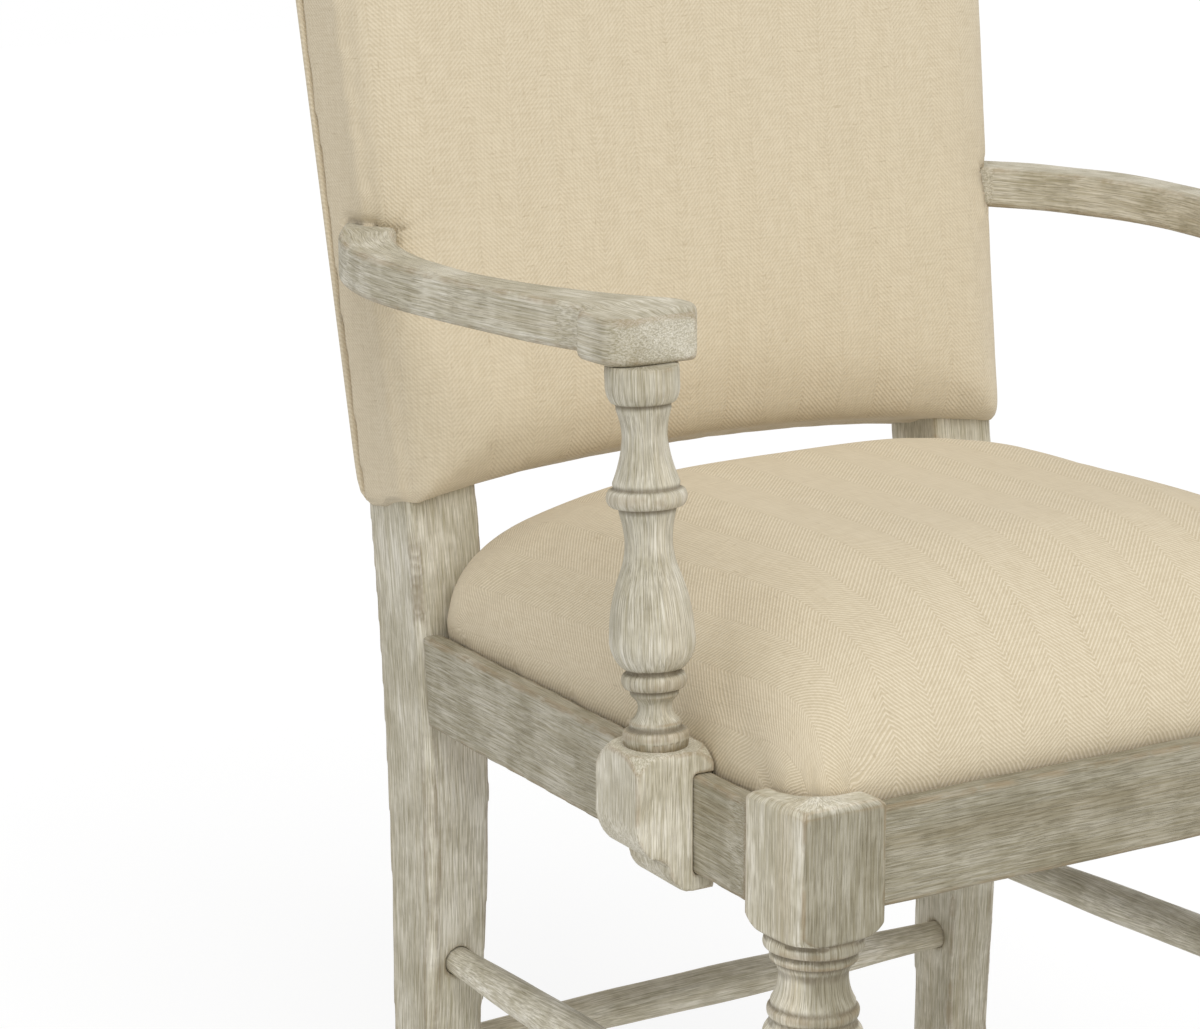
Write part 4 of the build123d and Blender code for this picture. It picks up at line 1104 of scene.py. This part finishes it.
def lining_point(across, along):
    """Place on the lining, with its corners drawn in and its middle hanging a little."""
    low, high = LINING_LOW, LINING_HIGH
    bowed_depth = math.sqrt(1 - LINING_CORNERS * across * across) * (high[1] - low[1]) / 2
    bowed_width = math.sqrt(1 - LINING_CORNERS * along * along) * high[0]
    narrow = 1.0 - LINING_TAPER * (along + 1) / 2
    hang = LINING_SAG * (1 - across * across) * (1 - along * along)
    middle = (low[1] + high[1]) / 2
    return Vector((across * bowed_width * narrow, middle + along * bowed_depth, low[2] - LINING_BELOW - hang))


def dust_lining():
    """Thin dark lining on the seat board's underside."""
    steps = LINING_STEPS
    points = []
    for row in range(steps + 1):
        for column in range(steps + 1):
            points.append(lining_point(2 * column / steps - 1, 2 * row / steps - 1))
    faces = []
    for row in range(steps):
        for column in range(steps):
            first = row * (steps + 1) + column
            faces.append((first, first + 1, first + steps + 2, first + steps + 1))
    mesh = mesh_from("dust_lining", points, [], faces)
    mesh = modified(mesh, ("SOLIDIFY", {"thickness": LINING_WALL, "offset": 0.0}))
    place("dust_lining", mesh, lining_cloth(), ["dust_cover"])


def staple_tree():
    """Geometry nodes: staples set along a path at an even spacing, realised as mesh."""
    tree = bpy.data.node_groups.new("Staple Row", "GeometryNodeTree")
    for label, kind, default in (
        ("Geometry", "Geometry", None),
        ("Spacing", "Float", STAPLE_SPACING),
        ("Crown", "Float", 0.009),
        ("Wire", "Float", 0.0006),
        ("Finish", "Material", None),
    ):
        socket = tree.interface.new_socket(label, in_out="INPUT", socket_type="NodeSocket" + kind)
        if default is not None:
            socket.default_value = default
    tree.interface.new_socket("Geometry", in_out="OUTPUT", socket_type="NodeSocketGeometry")
    given, result = tree.nodes.new("NodeGroupInput"), tree.nodes.new("NodeGroupOutput")
    path = tree.nodes.new("GeometryNodeMeshToCurve")
    spots = tree.nodes.new("GeometryNodeCurveToPoints")
    spots.mode = "LENGTH"
    size = tree.nodes.new("ShaderNodeCombineXYZ")
    wire = tree.nodes.new("GeometryNodeMeshCube")
    scatter = tree.nodes.new("GeometryNodeInstanceOnPoints")
    real = tree.nodes.new("GeometryNodeRealizeInstances")
    finish = tree.nodes.new("GeometryNodeSetMaterial")
    for start, output, end, entry in (
        (given, "Geometry", path, "Mesh"),
        (path, "Curve", spots, "Curve"),
        (given, "Spacing", spots, "Length"),
        (given, "Wire", size, "X"),
        (given, "Wire", size, "Y"),
        (given, "Crown", size, "Z"),
        (size, "Vector", wire, "Size"),
        (spots, "Points", scatter, "Points"),
        (wire, "Mesh", scatter, "Instance"),
        (spots, "Rotation", scatter, "Rotation"),
        (scatter, "Instances", real, "Geometry"),
        (real, "Geometry", finish, "Geometry"),
        (given, "Finish", finish, "Material"),
        (finish, "Geometry", result, "Geometry"),
    ):
        tree.links.new(start.outputs[output], end.inputs[entry])
    return tree


def lining_staples():
    """Staples that hold the lining, in a row inside its edge."""
    corners = ((-1, -1), (1, -1), (1, 1), (-1, 1))
    points = []
    for start, end in zip(corners, corners[1:] + corners[:1]):
        for share in np.linspace(0, 1, STAPLE_POINTS, endpoint=False):
            across = STAPLE_PATH * (start[0] + share * (end[0] - start[0]))
            along = STAPLE_PATH * (start[1] + share * (end[1] - start[1]))
            points.append(lining_point(across, along) - Vector((0, 0, STAPLE_BELOW)))
    count = len(points)
    path = mesh_from("staple_path", points, [(index, (index + 1) % count) for index in range(count)], [])
    scratch = as_object("staple_path", path)
    row = scratch.modifiers.new("staples", "NODES")
    row.node_group = staple_tree()
    values = {"Spacing": STAPLE_SPACING, "Finish": bright_steel()}
    for socket in row.node_group.interface.items_tree:
        if socket.name in values:
            row[socket.identifier] = values[socket.name]
    result = settled(scratch)
    drop(scratch)
    place("lining_staples", result, bright_steel(), [])


# Settings that a user may change


def colour(name, description, *levels):
    """Colour setting, from a screen colour."""
    return FloatVectorProperty(
        name=name, description=description, subtype="COLOR", size=3, default=linear(*levels)
    )


def measure(name, description, default, low=0.0, high=2.0):
    """Length setting."""
    return FloatProperty(
        name=name, description=description, subtype="DISTANCE", default=default, min=low, max=high
    )


class ArmchairWood(bpy.types.PropertyGroup):
    """Looks of the limed wood."""

    wash: colour("Wash", "Pale wash on the wood", 212, 207, 192)
    shade: colour("Shade", "Wash where it is thin", 172, 165, 142)
    bare: colour("Bare", "Wood that shows through the wash", 172, 158, 128)
    pore: colour("Pore", "Open pores of the grain", 132, 122, 98)
    rub: colour("Rub", "Rubbed arrises", 152, 128, 94)
    glaze: colour("Glaze", "Dark glaze in hollows", 112, 100, 78)
    uneven: measure("Uneven", "Hand-worn unevenness", 0.0002, high=0.002)
    wear: measure("Wear", "Deepest wear of an arris", 0.0003, high=0.003)
    arris_bend: FloatProperty(
        name="Arris bend", description="Bend per millimetre at which wear begins",
        default=0.07, min=0.01, max=0.5,
    )


class ArmchairCloth(bpy.types.PropertyGroup):
    """Looks and form of the upholstery."""

    # Light and Shade are the lit and the shaded side of the twill's ribs, painted into the colour; Light also
    # tints the faint bands
    light: colour("Light", "Light threads", 229, 216, 191)
    shade: colour("Shade", "Shaded side of the ribs", 207, 193, 164)
    gap: colour("Gap", "Between the threads", 184, 167, 136)
    fleck: colour("Fleck", "Slubs of darker yarn", 160, 140, 106)
    column: measure("Column", "Width of a herringbone column", 0.028, low=0.004, high=0.1)
    pitch: measure("Pitch", "Twill ribs apart, up the cloth", 0.0029, low=0.0005, high=0.02)
    cover: measure("Cover", "Cloth over the foam", 0.0016, high=0.01)
    pressure: FloatProperty(
        name="Pressure", description="Fullness of the padding", default=4.0, min=0.0, max=20.0
    )
    frames: IntProperty(name="Frames", description="Steps of the swelling", default=20, min=2, max=60)
    rake: FloatProperty(
        name="Rake", description="Back's lean", subtype="ANGLE", default=math.radians(9.6), min=0.0, max=0.6
    )
    back_depth: measure("Back depth", "Posts' fronts behind the legs' fronts", 0.433)
    back_start: measure("Back start", "Height at which that is measured", 0.493)
    back_bottom: measure("Back bottom", "Lower corners of the back", 0.483)
    back_top: measure("Back top", "Upper corners of the back", 1.008)
    low_half: measure("Low half", "Half width below", 0.2217)
    high_half: measure("High half", "Half width above", 0.2446)
    low_arch: measure("Low arch", "Rise of the lower edge", 0.018)
    top_arch: measure("Top arch", "Rise of the top edge", 0.024)
    post_depth: measure("Post depth", "Posts front to back", 0.0475)
    rear_slope: FloatProperty(name="Rear slope", description="Lean of the posts' rear faces", default=0.1518)


class ArmchairStage(bpy.types.PropertyGroup):
    """Plain studio round the chair."""

    sky: FloatProperty(name="Sky", description="Even light from all round", default=0.62, min=0.0, max=3.0)
    key: FloatProperty(name="Key", description="Soft main light", default=1.5, min=0.0, max=10.0)
    lens: FloatProperty(
        name="Lens", description="Camera lens in millimetres", default=121.45, min=20.0, max=300.0
    )


# Operators, one for each piece or group of like pieces


class ARMCHAIR_OT_front_legs(bpy.types.Operator):
    """Turned front legs in limed wood"""

    bl_idname = "armchair.front_legs"
    bl_label = "Front Legs"

    def execute(self, context):
        for node in pair("front_leg"):
            low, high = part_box(node)
            x, y = (low[0] + high[0]) / 2, (low[1] + high[1]) / 2
            lines = ((x, y, 0.0), (x, y, 1.0), LEG_LINES)
            # Painted shade on the legs' front faces
            worn_piece(
                node, "upright", spacing=0.0013, age=0.0, front_age=0.92,
                lines=lines, heights=(LEG_FROM, LEG_TO),
            )
        return {"FINISHED"}


class ARMCHAIR_OT_rear_legs(bpy.types.Operator):
    """Sabre rear legs with their posts in limed wood"""

    bl_idname = "armchair.rear_legs"
    bl_label = "Rear Legs"

    def execute(self, context):
        # Painted light: front faces a little lighter than the rest
        worn_pieces(pair("rear_leg"), "upright", spacing=0.0019, front_age=0.20, hewn=True)
        return {"FINISHED"}


class ARMCHAIR_OT_seat_rails(bpy.types.Operator):
    """Seat rails in limed wood"""

    bl_idname = "armchair.seat_rails"
    bl_label = "Seat Rails"

    def execute(self, context):
        worn_pieces(pair("side_seat_rail"), "deep", spacing=0.0016, age=0.70, bowed=True)
        worn_pieces(["front_seat_rail", "rear_seat_rail"], "cross", spacing=0.0016, age=0.92)
        return {"FINISHED"}


class ARMCHAIR_OT_stretchers(bpy.types.Operator):
    """Turned stretchers in limed wood"""

    bl_idname = "armchair.stretchers"
    bl_label = "Stretchers"

    def execute(self, context):
        # Painted light: the stretchers are tinted lighter where they sit in shade under the seat
        worn_pieces(pair("side_stretcher"), "deep", spacing=0.0014, age=0.15)
        worn_pieces(["front_stretcher", "rear_stretcher"], "cross", spacing=0.0014, age=0.0)
        return {"FINISHED"}


class ARMCHAIR_OT_arms(bpy.types.Operator):
    """Bowed arms in limed wood"""

    bl_idname = "armchair.arms"
    bl_label = "Arms"

    def execute(self, context):
        for node in pair("arm"):
            worn_piece(node, "deep", spacing=0.0012, extra=arm_pad_corners(node), bowed=True)
        return {"FINISHED"}


class ARMCHAIR_OT_arm_posts(bpy.types.Operator):
    """Turned arm posts in limed wood"""

    bl_idname = "armchair.arm_posts"
    bl_label = "Arm Posts"

    def execute(self, context):
        for node in pair("arm_post"):
            mirrored = np.array([side_of(node), 1, 1])
            foot, head = (np.array(end) * mirrored + (0, FRONT, 0) for end in (POST_FOOT, POST_HEAD))
            worn_piece(
                node, "upright", spacing=0.001, age=0.31,
                lines=(foot, head, POST_LINES), seats=(POST_FOOT[2], POST_HEAD[2]),
            )
        return {"FINISHED"}


class ARMCHAIR_OT_arm_brackets(bpy.types.Operator):
    """Notched brackets under the arm posts"""

    bl_idname = "armchair.arm_brackets"
    bl_label = "Arm Brackets"

    def execute(self, context):
        worn_pieces(pair("arm_bracket"), "upright", spacing=0.001, age=0.10)
        return {"FINISHED"}


class ARMCHAIR_OT_seat_cushion(bpy.types.Operator):
    """Drop-in seat in herringbone cloth"""

    bl_idname = "armchair.seat_cushion"
    bl_label = "Seat Cushion"

    def execute(self, context):
        seat_cushion()
        return {"FINISHED"}


class ARMCHAIR_OT_back_cushion(bpy.types.Operator):
    """Padded back in herringbone cloth"""

    bl_idname = "armchair.back_cushion"
    bl_label = "Back Cushion"

    def execute(self, context):
        back_cushion()
        return {"FINISHED"}


class ARMCHAIR_OT_outside_panel(bpy.types.Operator):
    """Covered panel on the outside of the back"""

    bl_idname = "armchair.outside_panel"
    bl_label = "Outside Panel"

    def execute(self, context):
        outside_panel()
        return {"FINISHED"}


class ARMCHAIR_OT_seat_lining(bpy.types.Operator):
    """Lining under the seat and the staples that hold it"""

    bl_idname = "armchair.seat_lining"
    bl_label = "Seat Lining"

    def execute(self, context):
        dust_lining()
        lining_staples()
        return {"FINISHED"}


class ARMCHAIR_OT_inner_frame(bpy.types.Operator):
    """Finishes of the hidden frame, its screws and the glides"""

    bl_idname = "armchair.inner_frame"
    bl_label = "Inner Frame"

    def execute(self, context):
        finishes = {"plain_wood": plain_wood(), "steel": bright_steel(), "glide": glide_plastic()}
        for part in frame["record"]["subparts"]:
            if part["material_slot"] in finishes:
                mesh = frame["nodes"][part["node"]].data
                mesh.materials.clear()
                mesh.materials.append(finishes[part["material_slot"]])
        return {"FINISHED"}


class ARMCHAIR_OT_stage(bpy.types.Operator):
    """Pale floor, soft light and the camera"""

    bl_idname = "armchair.stage"
    bl_label = "Stage"

    def execute(self, context):
        build_floor()
        build_light(context.scene)
        build_camera(context.scene)
        return {"FINISHED"}


# Floor, light and camera

# Floor: half its width, its paint, and its white: share for all rays, more for seen ones, and strength
FLOOR_REACH = 6.0
FLOOR_PAINT = (0.85, 0.85, 0.85, 1.0)
FLOOR_WHITE, FLOOR_WHITE_SEEN, FLOOR_STRENGTH = 0.22, 0.5, 1.1

# Main light: the way it shines and how softly
KEY_WAY = (0.20, 0.78, -0.85)
KEY_SPREAD = math.radians(45)

# Camera: place, the way it looks and its sensor in millimetres
CAMERA_PLACE = (-1.3753, FRONT - 1.5622, 1.0341)
CAMERA_WAY = (0.5287, 0.8162, -0.2329)
CAMERA_SENSOR = 36.0


def seen_rays(tree):
    """1 for rays from the camera, from a mirror or through glass, and 0 for others."""
    rays = tree.nodes.new("ShaderNodeLightPath").outputs
    seen = calc(tree, "MAXIMUM", rays["Is Camera Ray"], rays["Is Glossy Ray"])
    return calc(tree, "MAXIMUM", seen, rays["Is Transmission Ray"])


def aimed(scene, name, data, way):
    """A lamp or camera object that points one way."""
    item = bpy.data.objects.new(name, data)
    item.rotation_euler = Vector(way).to_track_quat("-Z", "Y").to_euler()
    scene.collection.objects.link(item)
    return item


def build_floor():
    """White floor that keeps the chair's shadow."""
    corners = [(x * FLOOR_REACH, y * FLOOR_REACH, 0) for x, y in ((-1, -1), (1, -1), (1, 1), (-1, 1))]
    mesh = mesh_from("floor", corners, [], [(0, 1, 2, 3)])
    material = bpy.data.materials.new("floor_white")
    material.use_nodes = True
    tree = material.node_tree
    tree.nodes.clear()
    paint = tree.nodes.new("ShaderNodeBsdfDiffuse")
    paint.inputs["Color"].default_value = FLOOR_PAINT
    glow = tree.nodes.new("ShaderNodeEmission")
    glow.inputs["Strength"].default_value = FLOOR_STRENGTH
    mixed = tree.nodes.new("ShaderNodeMixShader")
    share = calc(tree, "MULTIPLY_ADD", seen_rays(tree), FLOOR_WHITE_SEEN, FLOOR_WHITE)
    for socket, value in zip(mixed.inputs, (share, paint.outputs[0], glow.outputs[0])):
        feed(tree, socket, value)
    end = tree.nodes.new("ShaderNodeOutputMaterial")
    feed(tree, end.inputs["Surface"], mixed.outputs[0])
    mesh.materials.append(material)
    as_object("floor", mesh)


def build_light(scene):
    """Even sky, white behind the chair, and one soft main light."""
    look = scene.armchair_stage
    world = bpy.data.worlds.new("studio")
    scene.world = world
    world.use_nodes = True
    tree = world.node_tree
    sky = tree.nodes["Background"]
    sky.inputs["Color"].default_value = (1.0, 1.0, 1.0, 1.0)
    feed(tree, sky.inputs["Strength"], calc(tree, "MAXIMUM", seen_rays(tree), look.sky))
    lamp = bpy.data.lights.new("key", "SUN")
    lamp.energy = look.key
    lamp.angle = KEY_SPREAD
    aimed(scene, "key", lamp, KEY_WAY)


def build_camera(scene):
    """Camera at the photograph's viewing angle."""
    data = bpy.data.cameras.new("camera")
    data.sensor_fit = "HORIZONTAL"
    data.sensor_width = CAMERA_SENSOR
    data.lens = scene.armchair_stage.lens
    camera = aimed(scene, "camera", data, CAMERA_WAY)
    camera.location = CAMERA_PLACE
    scene.camera = camera
    scene.view_settings.view_transform = "Standard"


# The panel, and how the whole chair is made

STEPS = (
    ARMCHAIR_OT_front_legs,
    ARMCHAIR_OT_rear_legs,
    ARMCHAIR_OT_seat_rails,
    ARMCHAIR_OT_stretchers,
    ARMCHAIR_OT_arms,
    ARMCHAIR_OT_arm_posts,
    ARMCHAIR_OT_arm_brackets,
    ARMCHAIR_OT_seat_cushion,
    ARMCHAIR_OT_back_cushion,
    ARMCHAIR_OT_outside_panel,
    ARMCHAIR_OT_seat_lining,
    ARMCHAIR_OT_inner_frame,
    ARMCHAIR_OT_stage,
)
SETTINGS = {"armchair_wood": ArmchairWood, "armchair_cloth": ArmchairCloth, "armchair_stage": ArmchairStage}


class ARMCHAIR_PT_panel(bpy.types.Panel):
    """Lists the chair's pieces and settings"""

    bl_idname = "ARMCHAIR_PT_panel"
    bl_label = "Armchair"
    bl_space_type = "VIEW_3D"
    bl_region_type = "UI"
    bl_category = "Armchair"

    def draw(self, context):
        for step in STEPS:
            self.layout.operator(step.bl_idname)
        for name, kind in SETTINGS.items():
            box = self.layout.box()
            for field in kind.__annotations__:
                box.prop(getattr(context.scene, name), field)


def register():
    for kind in (*SETTINGS.values(), *STEPS, ARMCHAIR_PT_panel):
        bpy.utils.register_class(kind)
    for name, kind in SETTINGS.items():
        setattr(bpy.types.Scene, name, PointerProperty(type=kind))


def unregister():
    for name in SETTINGS:
        delattr(bpy.types.Scene, name)
    for kind in (ARMCHAIR_PT_panel, *reversed(STEPS), *SETTINGS.values()):
        bpy.utils.unregister_class(kind)


def main():
    register()
    for step in STEPS:
        group, name = step.bl_idname.split(".")
        getattr(getattr(bpy.ops, group), name)()


if __name__ == "__main__":
    main()
